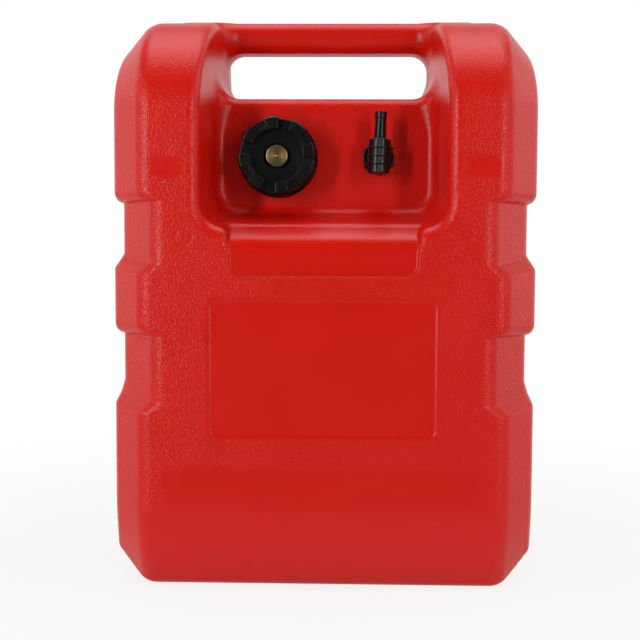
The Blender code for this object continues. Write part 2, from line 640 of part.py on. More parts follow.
def build_outlet(outlet):
    insert_flange_high = -TANK_WALL - GAP
    insert_low = insert_flange_high - INSERT_FLANGE_THICKNESS
    bore = SHANK_RADIUS + GAP
    insert = [(bore, insert_low), (INSERT_FLANGE_RADIUS, insert_low)]
    insert += [(INSERT_FLANGE_RADIUS, insert_flange_high), (INSERT_RADIUS, insert_flange_high)]
    insert += [(INSERT_RADIUS, 0), (bore, 0)]
    add_object("outlet_insert", turned(insert), outlet, "black_nylon")

    gasket = ring_profile(bore, OUTLET_GASKET_RADIUS, GAP, GAP + OUTLET_GASKET_THICKNESS)
    add_object("outlet_gasket", turned(gasket), outlet, "nitrile_rubber")

    hex_low = GAP + OUTLET_GASKET_THICKNESS + GAP
    hex_high = hex_low + HEX_THICKNESS
    base = add_object("outlet_base", hex_form(hex_low, hex_high), outlet, "black_nylon",
                      turn=(0, 0, HEX_TURN))
    shank_low = hex_low - SHANK_LENGTH
    shank = disc_profile(SHANK_RADIUS, shank_low, hex_low + HEX_BEVEL)
    combine(base, add_object("shank_form", turned(shank), outlet), "UNION")
    spigot_end = hex_high + SPIGOT_LENGTH
    ring_low = hex_high + GAP + SPIGOT_BEAD
    ring_high = ring_low + ORING_WIDTH
    groove = SPIGOT_RADIUS - ORING_THICKNESS
    bead_low = spigot_end - SPIGOT_BEAD_LENGTH
    bead = SPIGOT_RADIUS + SPIGOT_BEAD
    spigot = [(0, hex_high - HEX_BEVEL), (SPIGOT_RADIUS, hex_high - HEX_BEVEL)]
    spigot += [(SPIGOT_RADIUS, ring_low - GAP), (groove, ring_low - GAP)]
    spigot += [(groove, ring_high + GAP), (SPIGOT_RADIUS, ring_high + GAP)]
    spigot += [(SPIGOT_RADIUS, bead_low), (bead, bead_low + SPIGOT_BEAD)]
    spigot += [(bead, spigot_end - SPIGOT_BEAD), (SPIGOT_RADIUS, spigot_end), (0, spigot_end)]
    combine(base, add_object("spigot_form", turned(spigot, SMALL_ROUND_SIDES), outlet), "UNION")
    fuel_way = disc_profile(FUEL_BORE_RADIUS, shank_low - OVERRUN, spigot_end + OVERRUN)
    combine(base, add_object("base_bore_form", turned(fuel_way, SMALL_ROUND_SIDES), outlet),
            "DIFFERENCE")
    socket = disc_profile(PICKUP_RADIUS + GAP, shank_low - OVERRUN, shank_low + PICKUP_SOCKET_DEPTH)
    combine(base, add_object("pickup_socket_form", turned(socket, SMALL_ROUND_SIDES), outlet),
            "DIFFERENCE")

    oring = ring_profile(groove + GAP, SPIGOT_RADIUS, ring_low, ring_high)
    add_object("swivel_oring", turned(oring, SMALL_ROUND_SIDES), outlet, "nitrile_rubber")
    build_elbow(outlet, hex_high, spigot_end)
    build_pickup(outlet, shank_low)


def build_elbow(outlet, hex_high, spigot_end):
    # Modelled upright about local Z, then laid so that the barrel stands across the outlet axis
    swivel = add_frame("swivel_axis", (0, 0, 0))
    swivel.parent = outlet
    swivel.rotation_euler = (0, 0, ELBOW_TURN)
    back = hex_high + GAP
    middle = back + SOCKET_REACH + BARREL_RADIUS
    half = BARREL_LENGTH / 2
    profile = [(0, -half), (BARREL_RADIUS - BARREL_BEVEL, -half), (BARREL_RADIUS, BARREL_BEVEL - half)]
    for share in BARREL_RIB_SHARES:
        centre = BARREL_LENGTH * share - half
        foot = BARREL_RIB_WIDTH / 2
        profile += [(BARREL_RADIUS, centre - foot), (BARREL_RADIUS + BARREL_RIB, centre - foot / 2)]
        profile += [(BARREL_RADIUS + BARREL_RIB, centre + foot / 2), (BARREL_RADIUS, centre + foot)]
    tip = half + BARB_LENGTH
    bead_low = tip - BARB_BEAD_LENGTH
    step = BARB_BEAD_RADIUS - BARB_STEM_RADIUS
    profile += [(BARREL_RADIUS, half - BARREL_BEVEL), (BARREL_RADIUS - BARREL_BEVEL, half)]
    profile += [(BARB_STEM_RADIUS, half), (BARB_STEM_RADIUS, bead_low - step)]
    profile += [(BARB_BEAD_RADIUS, bead_low), (BARB_BEAD_RADIUS, bead_low + step)]
    pocket = -FUEL_BORE_RADIUS - GAP
    profile += [(BARB_STEM_RADIUS, tip), (FUEL_BORE_RADIUS, tip), (FUEL_BORE_RADIUS, pocket), (0, pocket)]
    elbow = add_object("outlet_elbow", turned(profile, SMALL_ROUND_SIDES), swivel, "black_nylon",
                       turn=(-math.pi / 2, 0, 0), place=(0, 0, middle))

    socket = disc_profile(SOCKET_RADIUS, back, middle)
    combine(elbow, add_object("socket_form", turned(socket, SMALL_ROUND_SIDES), swivel), "UNION")
    bore = SPIGOT_RADIUS + GAP
    snap = bore + SPIGOT_BEAD
    snap_low = spigot_end - SPIGOT_BEAD_LENGTH - GAP
    end = spigot_end + GAP
    port = FUEL_BORE_RADIUS - GAP
    way = [(0, back - OVERRUN), (bore, back - OVERRUN), (bore, snap_low), (snap, snap_low + SPIGOT_BEAD)]
    way += [(snap, end), (port, end), (port, middle), (0, middle)]
    combine(elbow, add_object("elbow_bore_form", turned(way, SMALL_ROUND_SIDES), swivel),
            "DIFFERENCE")


def build_pickup(outlet, shank_low):
    far_wall = -(TANK_DEPTH - RECESS_DEPTH - TANK_WALL)
    tube_high = shank_low + PICKUP_SOCKET_DEPTH - GAP
    tube_low = far_wall + PICKUP_END_CLEARANCE
    tube = ring_profile(PICKUP_RADIUS - PICKUP_WALL, PICKUP_RADIUS, tube_low, tube_high)
    add_object("pickup_tube", turned(tube, SMALL_ROUND_SIDES), outlet, "white_nylon")

    low = far_wall + STRAINER_CLEARANCE
    high = low + STRAINER_LENGTH
    collar_low = high - STRAINER_COLLAR_LENGTH
    floor = low + STRAINER_FLANGE_THICKNESS
    bore = PICKUP_RADIUS + GAP
    collar = [(bore, collar_low), (STRAINER_FLANGE_RADIUS, collar_low)]
    collar += [(STRAINER_FLANGE_RADIUS, collar_low + STRAINER_FLANGE_THICKNESS)]
    collar += [(STRAINER_COLLAR_RADIUS, collar_low + STRAINER_FLANGE_THICKNESS)]
    collar += [(STRAINER_COLLAR_RADIUS, high), (bore, high)]
    frame = add_object("strainer_frame", turned(collar, SMALL_ROUND_SIDES), outlet, "white_nylon")
    cover = disc_profile(STRAINER_FLANGE_RADIUS, low, floor)
    combine(frame, add_object("strainer_end_form", turned(cover, SMALL_ROUND_SIDES), outlet), "UNION")
    post_circle = (bore + STRAINER_COLLAR_RADIUS) / 2
    half_flange = STRAINER_FLANGE_THICKNESS / 2
    for post in range(STRAINER_POST_COUNT):
        angle = math.tau * (post + 1 / 2) / STRAINER_POST_COUNT
        rod = disc_profile(STRAINER_POST_RADIUS, floor - half_flange, collar_low + half_flange)
        shape = turned(rod, STRAINER_POST_SIDES)
        place = (post_circle * math.cos(angle), post_circle * math.sin(angle), 0)
        combine(frame, add_object(f"strainer_post_form_{post + 1}", shape, outlet, place=place), "UNION")
    inner = post_circle + STRAINER_POST_RADIUS + GAP
    sleeve = ring_profile(inner, inner + STRAINER_MESH_THICKNESS, floor + GAP, collar_low - GAP)
    add_object("strainer_mesh", turned(sleeve, SMALL_ROUND_SIDES), outlet, "steel_mesh")


def main():
    clear_scene()
    filler = add_frame("filler_axis", (FILLER_X, FLOOR_Y, FILLER_HEIGHT))
    outlet = add_frame("outlet_axis", (OUTLET_X, FLOOR_Y, FILLER_HEIGHT))
    build_tank(filler, outlet)
    build_cap(filler)
    build_vent(filler)
    build_outlet(outlet)


main()
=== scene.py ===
# Portable outboard fuel tank: a grained red moulding with a vented screw cap and a hose elbow.
# Everything is in metres in the CAD frame; the moulding and the cap are worked out in millimetres.
import math
from itertools import product

import bmesh
import bpy
import numpy as np
from mathutils import Matrix, Vector


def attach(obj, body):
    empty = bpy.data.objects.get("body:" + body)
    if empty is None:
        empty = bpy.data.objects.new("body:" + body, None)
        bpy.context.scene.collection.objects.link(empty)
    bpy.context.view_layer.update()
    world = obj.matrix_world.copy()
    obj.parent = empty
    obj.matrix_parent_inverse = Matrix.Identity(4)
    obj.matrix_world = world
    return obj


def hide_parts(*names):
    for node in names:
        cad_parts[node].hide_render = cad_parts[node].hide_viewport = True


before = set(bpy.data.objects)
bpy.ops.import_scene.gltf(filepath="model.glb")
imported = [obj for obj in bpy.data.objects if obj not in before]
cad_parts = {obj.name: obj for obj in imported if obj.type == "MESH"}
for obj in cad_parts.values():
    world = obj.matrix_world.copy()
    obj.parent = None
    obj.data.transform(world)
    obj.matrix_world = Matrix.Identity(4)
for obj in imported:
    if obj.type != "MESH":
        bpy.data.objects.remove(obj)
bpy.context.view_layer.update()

mm = 0.001
tiny = 1e-6
farOff = 1e9
coarser = 1

# The filler and the outlet stand on the recess floor and point out of the front
filler = {"x": -40.0, "z": 356.0, "floor": -50.0}
outlet = {"x": 45.0, "z": 356.0, "floor": -50.0}


def smoothStep(value, low, high):
    share = np.clip((value - low) / (high - low), 0, 1)
    return share * share * (3 - 2 * share)


def roundMax(a, b, radius):
    # The solid inside both, with the edge between them rounded
    rounded = np.hypot(np.maximum(a + radius, 0), np.maximum(b + radius, 0))
    return np.minimum(np.maximum(a, b), -radius) + rounded


def roundMin(a, b, radius):
    # The solid inside either, with the corner between them filled
    return -roundMax(-a, -b, radius)


def roundedBox(u, v, halfU, halfV, radius):
    reachU = np.abs(u) - halfU + radius
    reachV = np.abs(v) - halfV + radius
    outside = np.hypot(np.maximum(reachU, 0), np.maximum(reachV, 0))
    return outside + np.minimum(np.maximum(reachU, reachV), 0) - radius


def thinned(points, slack=0.01):
    # The outline without the points that lie on a straight run
    kept = [points[0]]
    for (u, z), (nextU, nextZ) in zip(points[1:], points[2:]):
        chordU, chordZ = nextU - kept[-1][0], nextZ - kept[-1][1]
        off = abs((u - kept[-1][0]) * chordZ - (z - kept[-1][1]) * chordU)
        if off > slack * math.hypot(chordU, chordZ):
            kept.append((u, z))
    return kept + [points[-1]]


class OutlineTable:
    # Distance to an outline drawn as offset against height, kept in a fine table
    def __init__(self, points, offsets, heights, step):
        points = thinned(points)
        self.step = step
        self.low = (offsets[0], heights[0])
        u = np.arange(offsets[0], offsets[1] + step, step)[:, None]
        z = np.arange(heights[0], heights[1] + step, step)[None, :]
        nearest = np.full((u.size, z.size), farOff)
        for (u0, z0), (u1, z1) in zip(points, points[1:]):
            length = math.hypot(u1 - u0, z1 - z0)
            if length < tiny:
                continue
            alongU, alongZ = (u1 - u0) / length, (z1 - z0) / length
            share = np.clip((u - u0) * alongU + (z - z0) * alongZ, 0, length)
            gap = np.hypot(u - u0 - share * alongU, z - z0 - share * alongZ)
            nearest = np.minimum(nearest, gap)
        offsetList, heightList = np.array(points).T
        edge = np.interp(z, heightList, offsetList, left=-farOff, right=-farOff)
        self.table = np.where(u < edge, -nearest, nearest).astype(np.float32)

    def __call__(self, u, z):
        # The far end stays a hair inside the last cell
        across, along = (np.clip((value - low) / self.step, 0, count - 1.001)
                         for value, low, count in zip((u, z), self.low, self.table.shape))
        i, j = across.astype(int), along.astype(int)
        fu, fz = across - i, along - j
        near = self.table[i, j] * (1 - fz) + self.table[i, j + 1] * fz
        far = self.table[i + 1, j] * (1 - fz) + self.table[i + 1, j + 1] * fz
        return near * (1 - fu) + far * fu


def gridLine(low, high, step, spots, fineStep, reach):
    # Grid positions that lie closer together near the given spots
    line = [low]
    while line[-1] < high:
        near = any(abs(line[-1] + fineStep - spot) < reach for spot in spots)
        line.append(line[-1] + (fineStep if near else step))
    return np.array(line)


def surfaceNet(field, lines):
    # One point in each grid cell that the surface crosses, and a face across each crossed grid edge
    inside = field < 0
    size = [count - 1 for count in field.shape]
    filled = np.zeros(size, np.int8)
    for corner in product((0, 1), repeat=3):
        filled += inside[tuple(slice(c, c + n) for c, n in zip(corner, size))]
    cells = np.argwhere((filled > 0) & (filled < 8))
    number = np.full(size, -1, np.int32)
    number[tuple(cells.T)] = np.arange(len(cells))
    total = np.zeros((len(cells), 3))
    hits = np.zeros(len(cells))
    for axis in range(3):
        others = [other for other in range(3) if other != axis]
        for first, second in product((0, 1), repeat=2):
            start = cells.copy()
            start[:, others[0]] += first
            start[:, others[1]] += second
            end = start.copy()
            end[:, axis] += 1
            a = field[tuple(start.T)]
            b = field[tuple(end.T)]
            crossed = (a < 0) != (b < 0)
            share = np.where(crossed, a / np.where(crossed, a - b, 1), 0)
            place = start.astype(float)
            place[:, axis] += share
            total += place * crossed[:, None]
            hits += crossed
    spots = total / hits[:, None]
    points = np.stack([np.interp(spots[:, k], np.arange(len(lines[k])), lines[k]) for k in range(3)], 1)
    faces = []
    for axis in range(3):
        u, v = (axis + 1) % 3, (axis + 2) % 3
        low = [slice(None)] * 3
        high = [slice(None)] * 3
        low[axis] = slice(0, -1)
        high[axis] = slice(1, None)
        a = inside[tuple(low)]
        edges = np.argwhere(a != inside[tuple(high)])
        outward = a[tuple(edges.T)]
        ring = []
        for du, dv in ((-1, -1), (0, -1), (0, 0), (-1, 0)):
            cell = edges.copy()
            cell[:, u] += du
            cell[:, v] += dv
            ring.append(number[tuple(cell.T)])
        quads = np.stack(ring, 1)
        quads[~outward] = quads[~outward][:, ::-1]
        faces.append(quads)
    return points, np.concatenate(faces)


def slopeOf(field, points, step):
    slope = np.empty_like(points)
    for axis in range(3):
        shift = np.zeros(3)
        shift[axis] = step
        ahead = field(*(points + shift).T)
        behind = field(*(points - shift).T)
        slope[:, axis] = (ahead - behind) / (2 * step)
    return slope


# How a piece is drawn from its field: rounds of settling, the flattest slope that is trusted, how far
# points first move and normals are felt in reaches, and the reach in millimetres on small pieces
sculpting = {"rounds": 3, "finalRounds": 2, "flattest": 0.05, "firstMove": 3, "normalReach": 2.4,
             "fineReach": 0.08}


def settle(field, points, rounds, most, step):
    # Moves points onto the surface of the field
    for _ in range(rounds):
        slope = slopeOf(field, points, step)
        length = np.maximum((slope ** 2).sum(1), sculpting["flattest"])
        move = slope * (field(*points.T) / length)[:, None]
        reach = np.maximum(np.linalg.norm(move, axis=1) / most, 1)
        points = points - move / reach[:, None]
    return points


def meshFrom(name, points, faces):
    mesh = bpy.data.meshes.new(name)
    mesh.from_pydata(points.tolist(), [], faces.tolist())
    mesh.validate()
    return mesh


def placed(name, mesh):
    thing = bpy.data.objects.new(name, mesh)
    bpy.context.scene.collection.objects.link(thing)
    return thing


def frozen(thing):
    # The object with its modifiers worked in and taken off
    graph = bpy.context.evaluated_depsgraph_get()
    mesh = bpy.data.meshes.new_from_object(thing.evaluated_get(graph))
    thing.modifiers.clear()
    thing.data = mesh
    return thing


def spotsOf(thing):
    # The x, y and z of a mesh's points in millimetres
    spots = np.empty(len(thing.data.vertices) * 3)
    thing.data.vertices.foreach_get("co", spots)
    return (spots.reshape(-1, 3) / mm).T


def sculpted(name, field, lines, triangles, reach=0.25):
    # A moulded piece drawn from its field, thinned to a number of triangles and shaded by the field
    x, y, z = lines
    values = field(x[:, None, None], y[None, :, None], z[None, None, :]).astype(np.float32)
    points, faces = surfaceNet(values, lines)
    points = settle(field, points, sculpting["rounds"], sculpting["firstMove"] * reach, reach)
    thing = placed(name, meshFrom(name, points * mm, faces))
    count = 2 * len(faces)
    if count > triangles:
        thin = thing.modifiers.new("thin", "DECIMATE")
        thin.ratio = triangles / count
        frozen(thing)
    mesh = thing.data
    spots = settle(field, spotsOf(thing).T, sculpting["finalRounds"], reach, reach)
    mesh.vertices.foreach_set("co", (spots * mm).ravel())
    mesh.update()
    mesh.shade_smooth()
    slope = slopeOf(field, spots, sculpting["normalReach"] * reach)
    slope /= np.maximum(np.linalg.norm(slope, axis=1), tiny)[:, None]
    mesh.normals_split_custom_set_from_vertices(slope.tolist())
    print(name, "triangles", sum(len(face.vertices) - 2 for face in mesh.polygons))
    return thing


# What a user would change on the moulding, in millimetres
tank = {
    "halfWidth": 174.0, "halfDepth": 115.0, "crest": 477.0, "edge": 146.0, "edgeRound": 5.0,
    "sideRound": 4.0, "sideRoundSpan": (8, 50), "baseCorner": 25.0, "baseEdge": 4.0,
    "sweepHeight": 75.0, "sweepDepth": 20.0, "shoulderSpring": 390.5, "crestHalfDepth": 5.0,
    "crestChamfer": 2.5, "crestSpan": (440, 470),
    # Foot, ramp and floor of each strap groove, on the sides and on the chamfered edges
    "grooves": ((150.0, 20.0, 38.5), (262.5, 12.5, 41.0)), "grooveDepth": 7.0, "grooveRoll": 9.0,
    "edgeGrooves": ((151.0, 8.5, 49.0), (263.0, 9.5, 43.5)), "grooveEdgeDepth": 10.8,
    "grooveSlant": 6.5, "slantStart": 83.0, "slantReach": 32.0,
    "recessLip": 99.5, "recessSideDraft": 5.3, "sill": 293.7, "sillDraft": 14.0,
    "recessCorner": 20.0, "recessFillet": 8.0, "lipRound": 8.5,
    "saddle": 408.0, "saddleRoll": 10.0, "saddleCorner": 24.0, "saddleCornerSpan": (372, 428),
    "saddleBackRoll": 27.0, "backSpare": 5.0,
    "barMiddle": 466.7, "barHalfDepth": 18.0, "barHalfHeight": 13.4, "barRound": 12.5,
    "barFillet": 15.0, "barEnd": 114.0, "barTop": 480.1, "barDrop": 2.6, "barDropSpan": (78, 102),
    "barTopRound": 1.5,
    "scoopHalfWidth": 75.6, "scoopFoot": 256.0, "scoopDepth": 2.5, "scoopCorner": 10.0,
    "scoopSlope": ((282.7, 2.5), (293.7, 14.5)), "scoopBend": 5.0, "scoopReach": 4.0,
    "scoopSoft": 1.4, "scoopTopSoft": 6.5, "scoopTopSpan": (271, 288),
    "labelHalfWidth": 91.5, "labelFoot": 126.5, "labelHeight": 111.0, "labelDepth": 0.9,
    "labelCorner": 6.5, "labelRamp": 1.8, "frontSpan": (95, 105),
    "marks": ((-111.8, 287.4), (113.0, 286.0)), "markRadius": 6.5, "markShare": 0.35, "markWidth": 0.8,
    "partingWidth": 0.7, "partingHeight": 0.35, "partingSpan": (2, 6),
    "boreRadius": 21.0, "outletHole": 12.0, "pocketEnd": -12.0,
    "triangles": 190000,
}


def grooveShare(z, grooves, lift=0):
    # How much of the strap grooves' depth there is at a height; lift lowers their feet
    share = np.zeros_like(z + lift)
    for foot, ramp, floor in grooves:
        top = foot + ramp + floor
        rise = np.clip((z + lift - foot) / ramp, 0, 1)
        roll = np.clip((z - top) / tank["grooveRoll"], 0, 1)
        fall = 1 - np.sqrt(np.clip(1 - (1 - roll) ** 2, 0, 1))
        share = np.maximum(share, np.where(z <= top, rise, np.where(z < top + tank["grooveRoll"], fall, 0)))
    return share


# Spans of the tank's two outline tables, their step, and how far the outlines run on past the tank
tables = {"side": (-2, 130), "front": (-2, 190), "heights": (-10, 500), "step": 0.5, "outside": 60}


def tankOutlines():
    # Side view as depth against height, front view as width against height
    span, step, outside = tables["heights"], tables["step"], tables["outside"]
    heights = np.arange(0, tank["crest"] + step, step)
    halfDepth, crest = tank["halfDepth"], tank["crest"]
    lean = (tank["sweepHeight"] ** 2 + tank["sweepDepth"] ** 2) / (2 * tank["sweepDepth"])
    below = np.maximum(tank["sweepHeight"] - heights, 0)
    turn = np.maximum(tank["baseEdge"] - heights, 0)
    depths = halfDepth - lean + np.sqrt(lean ** 2 - below ** 2)
    depths -= tank["baseEdge"] - np.sqrt(tank["baseEdge"] ** 2 - turn ** 2)
    spring, top = tank["shoulderSpring"], tank["crestHalfDepth"]
    arch = np.sqrt(np.clip(1 - ((heights - spring) / (crest - spring)) ** 2, 0, 1))
    depths = np.where(heights > spring, top + (halfDepth - top) * arch, depths)
    side = [(-outside, 0)] + list(zip(depths, heights)) + [(-outside, crest)]
    corner = np.maximum(tank["baseCorner"] - heights, 0)
    widths = tank["halfWidth"] - tank["grooveDepth"] * grooveShare(heights, tank["grooves"])
    widths -= tank["baseCorner"] - np.sqrt(tank["baseCorner"] ** 2 - corner ** 2)
    front = [(widths[0], -outside)] + list(zip(widths, heights)) + [(widths[-1], span[1] + outside)]
    return (OutlineTable(side, tables["side"], span, step),
            OutlineTable(front, tables["front"], span, step))


sideOutline, frontOutline = tankOutlines()


def chamferEdge(y, z):
    # Half width of the flat front face: the grooves reach lower here than on the sides
    lift = tank["grooveSlant"] * np.clip((np.abs(y) - tank["slantStart"]) / tank["slantReach"], 0, 1)
    edge = tank["edge"] - tank["grooveEdgeDepth"] * grooveShare(z, tank["edgeGrooves"], lift)
    return edge + tank["crestChamfer"] * smoothStep(z, *tank["crestSpan"])


def recessField(across, y, z):
    # Space of the recess and of the saddle under the carrying bar
    depth = y + tank["halfDepth"]
    inward = np.minimum(depth, 2 * tank["halfDepth"] - depth)
    sideDraft = math.radians(tank["recessSideDraft"])
    sillDraft = math.radians(tank["sillDraft"])
    wall = (across - tank["recessLip"] + math.tan(sideDraft) * inward) * math.cos(sideDraft)
    sill = (tank["sill"] + math.tan(sillDraft) * depth - z) * math.cos(sillDraft)
    trough = roundMax(wall, sill, tank["recessCorner"])
    pedestal = roundMax(filler["floor"] - y, z - tank["saddle"], tank["saddleRoll"])
    back = y - tank["halfDepth"] - tank["backSpare"]
    pedestal = roundMax(pedestal, back, tank["saddleBackRoll"])
    spread = tank["saddleCorner"] - tank["recessFillet"]
    fillet = tank["recessFillet"] + spread * smoothStep(z, *tank["saddleCornerSpan"])
    return roundMax(trough, -pedestal, fillet)


def scoopField(across, y, z):
    (lowHeight, lowDepth), (highHeight, highDepth) = tank["scoopSlope"]
    depth = y + tank["halfDepth"]
    length = math.hypot(highHeight - lowHeight, highDepth - lowDepth)
    slope = (depth - lowDepth) * (highHeight - lowHeight) - (z - lowHeight) * (highDepth - lowDepth)
    slope = np.maximum(slope / length, depth - highDepth - tank["scoopReach"])
    floor = roundMin(depth - tank["scoopDepth"], slope, tank["scoopBend"])
    outline = roundMax(across - tank["scoopHalfWidth"], tank["scoopFoot"] - z, tank["scoopCorner"])
    return roundMax(outline, floor, tank["scoopSoft"])


def labelDistance(x, z):
    half = tank["labelHeight"] / 2
    return roundedBox(x, z - tank["labelFoot"] - half, tank["labelHalfWidth"], half, tank["labelCorner"])


def tankField(x, y, z):
    across = np.abs(x)
    side = sideOutline(np.abs(y), z)
    chamfer = (side + across - chamferEdge(y, z)) / math.sqrt(2)
    body = roundMax(side, chamfer, tank["edgeRound"])
    rounding = 1 + (tank["sideRound"] - 1) * smoothStep(z, *tank["sideRoundSpan"])
    body = roundMax(body, frontOutline(across, z), rounding)
    ridge = tank["partingHeight"] * np.exp(-(y / tank["partingWidth"]) ** 2)
    body = body - ridge * smoothStep(z, *tank["partingSpan"])
    # The label panel lies a little lower than the grained face, inside a narrow ramp
    panel = smoothStep(-labelDistance(x, z), 0, tank["labelRamp"])
    for markX, markZ in tank["marks"]:
        ring = np.hypot(x - markX, z - markZ) - tank["markRadius"]
        panel = panel + tank["markShare"] * np.exp(-(ring / tank["markWidth"]) ** 2)
    body = body + tank["labelDepth"] * panel * smoothStep(-y, *tank["frontSpan"])
    soft = tank["scoopSoft"] + tank["scoopTopSoft"] * smoothStep(z, *tank["scoopTopSpan"])
    body = roundMax(body, -scoopField(across, y, z), soft)
    body = roundMax(body, -recessField(across, y, z), tank["lipRound"])
    halfDepth, halfHeight = tank["barHalfDepth"], tank["barHalfHeight"]
    bar = roundedBox(y, z - tank["barMiddle"], halfDepth, halfHeight, tank["barRound"])
    body = roundMin(body, np.maximum(bar, across - tank["barEnd"]), tank["barFillet"])
    # The fillet is cut off level with the bar's top, which comes down to the shoulders
    top = tank["barTop"] - tank["barDrop"] * smoothStep(across, *tank["barDropSpan"])
    body = roundMax(body, z - top, tank["barTopRound"])
    for hole, radius in ((filler, tank["boreRadius"]), (outlet, tank["outletHole"])):
        pipe = np.hypot(x - hole["x"], z - hole["z"]) - radius
        body = np.maximum(body, -np.maximum(pipe, y - tank["pocketEnd"]))
    return body


def feed(tree, sockets, feeds):
    # Sets each socket to its value or feeds it from another socket
    for socket, value in feeds.items():
        if isinstance(value, bpy.types.NodeSocket):
            tree.links.new(value, sockets[socket])
        else:
            sockets[socket].default_value = value


def addNode(tree, kind, feeds=None, **settings):
    node = tree.nodes.new(kind)
    for key, value in settings.items():
        setattr(node, key, value)
    feed(tree, node.inputs, feeds or {})
    return node


def nodeOut(tree, kind, feeds=None, **settings):
    # The first output of a new node
    return addNode(tree, kind, feeds, **settings).outputs[0]


def worked(tree, operation, *values):
    # The result of one Math node
    return nodeOut(tree, "ShaderNodeMath", dict(enumerate(values)), operation=operation)


def vectorWorked(tree, operation, *values):
    feeds = dict(enumerate(values))
    return nodeOut(tree, "ShaderNodeVectorMath", feeds, operation=operation)


def remapped(tree, value, start, full, low=0.0, high=1.0, **settings):
    # The value carried from one range to another and kept inside it
    feeds = {"Value": value, "From Min": start, "From Max": full, "To Min": low, "To Max": high}
    return nodeOut(tree, "ShaderNodeMapRange", feeds, **settings)


socketTypes = {float: "Float", int: "Int", tuple: "Vector"}


def openTree(kind, name, inputs, output):
    # A node group; an input is given by its value, or by its type where it has none
    tree = bpy.data.node_groups.new(name, kind)
    for label, value in inputs.items():
        short = value if isinstance(value, str) else socketTypes[type(value)]
        socket = tree.interface.new_socket(name=label, in_out="INPUT", socket_type="NodeSocket" + short)
        if value is not short:
            socket.default_value = value
    label, short = output
    tree.interface.new_socket(name=label, in_out="OUTPUT", socket_type="NodeSocket" + short)
    return tree, tree.nodes.new("NodeGroupInput").outputs, tree.nodes.new("NodeGroupOutput").inputs


def buildMouldGrain():
    # Wavy pebbles as etched into a blow mould: cells drawn out along a leaning line and bent a little
    inputs = {"Position": "Vector", "Width": 0.001, "Length": 0.002, "Lean": 0.6, "Wander": 0.001,
              "Bend Scale": 170.0, "Low": 0.05, "High": 0.75}
    tree, given, out = openTree("ShaderNodeTree", "mouldGrain", inputs, ("Height", "Float"))
    bend = addNode(tree, "ShaderNodeTexNoise",
                   {"Vector": given["Position"], "Scale": given["Bend Scale"], "Detail": 1})
    offset = vectorWorked(tree, "SUBTRACT", bend.outputs["Color"], (0.5, 0.5, 0.5))
    offset = nodeOut(tree, "ShaderNodeVectorMath", {0: offset, "Scale": given["Wander"]}, operation="SCALE")
    place = vectorWorked(tree, "ADD", given["Position"], offset)
    turned = nodeOut(tree, "ShaderNodeVectorRotate", {"Vector": place, "Angle": given["Lean"]},
                     rotation_type="Y_AXIS", invert=True)
    size = nodeOut(tree, "ShaderNodeCombineXYZ",
                   {"X": given["Width"], "Y": given["Width"], "Z": given["Length"]})
    share = vectorWorked(tree, "DIVIDE", turned, size)
    pebble = addNode(tree, "ShaderNodeTexVoronoi", {"Vector": share, "Scale": 1.0, "Smoothness": 0.5},
                     feature="SMOOTH_F1")
    height = remapped(tree, pebble.outputs["Distance"], given["Low"], given["High"], 1.0, 0.0,
                      interpolation_type="SMOOTHSTEP")
    tree.links.new(height, out["Height"])
    return tree


def buildMottle():
    # Slow unevenness of a surface that has been handled
    inputs = {"Position": "Vector", "Patch": 0.03, "Start": 0.3, "Full": 0.7, "Low": 0.0, "High": 1.0}
    tree, given, out = openTree("ShaderNodeTree", "mottle", inputs, ("Value", "Float"))
    density = worked(tree, "DIVIDE", 1.0, given["Patch"])
    cloud = addNode(tree, "ShaderNodeTexNoise",
                    {"Vector": given["Position"], "Scale": density, "Detail": 4}).outputs["Fac"]
    spread = remapped(tree, cloud, given["Start"], given["Full"], given["Low"], given["High"])
    tree.links.new(spread, out["Value"])
    return tree


def buildPaintedEdgeHighlight():
    # Painted highlight: a lighter colour where an edge stands out, standing in for the light its rounding
    # catches
    inputs = {"Start": 0.51, "Full": 0.58}
    tree, given, out = openTree("ShaderNodeTree", "edgeRub", inputs, ("Mask", "Float"))
    sharp = tree.nodes.new("ShaderNodeNewGeometry").outputs["Pointiness"]
    tree.links.new(remapped(tree, sharp, given["Start"], given["Full"]), out["Mask"])
    return tree


def buildLatheLines():
    # Rings that a lathe leaves round an axis along Y through the origin of Position
    inputs = {"Position": "Vector", "Pitch": 0.0003, "Wobble Scale": 900.0, "Wobble": 1.5}
    tree, given, out = openTree("ShaderNodeTree", "latheLines", inputs, ("Height", "Float"))
    parts = addNode(tree, "ShaderNodeSeparateXYZ", {0: given["Position"]}).outputs
    squares = [worked(tree, "MULTIPLY", parts[axis], parts[axis]) for axis in "XZ"]
    radius = worked(tree, "SQRT", worked(tree, "ADD", *squares))
    wobble = addNode(tree, "ShaderNodeTexNoise",
                     {"Vector": given["Position"], "Scale": given["Wobble Scale"], "Detail": 2})
    wobble = worked(tree, "MULTIPLY", wobble.outputs["Fac"], given["Wobble"])
    phase = worked(tree, "DIVIDE", worked(tree, "MULTIPLY", radius, 2 * math.pi), given["Pitch"])
    wave = worked(tree, "SINE", worked(tree, "ADD", phase, wobble))
    tree.links.new(worked(tree, "MULTIPLY_ADD", wave, 0.5, 0.5), out["Height"])
    return tree


groups = {"grain": buildMouldGrain(), "mottle": buildMottle(), "edgeGlint": buildPaintedEdgeHighlight(),
          "lathe": buildLatheLines()}


def newMaterial(name, constants):
    material = bpy.data.materials.new(name)
    material.use_nodes = True
    tree = material.node_tree
    sockets = tree.nodes["Principled BSDF"].inputs
    feed(tree, sockets, constants)
    return material, tree, sockets


def effect(tree, name, feeds):
    return nodeOut(tree, "ShaderNodeGroup", feeds, node_tree=groups[name])


def mixed(tree, share, first, second):
    # A colour between two, each given as a colour or a socket
    return addNode(tree, "ShaderNodeMix", {0: share, 6: first, 7: second}, data_type="RGBA").outputs[2]


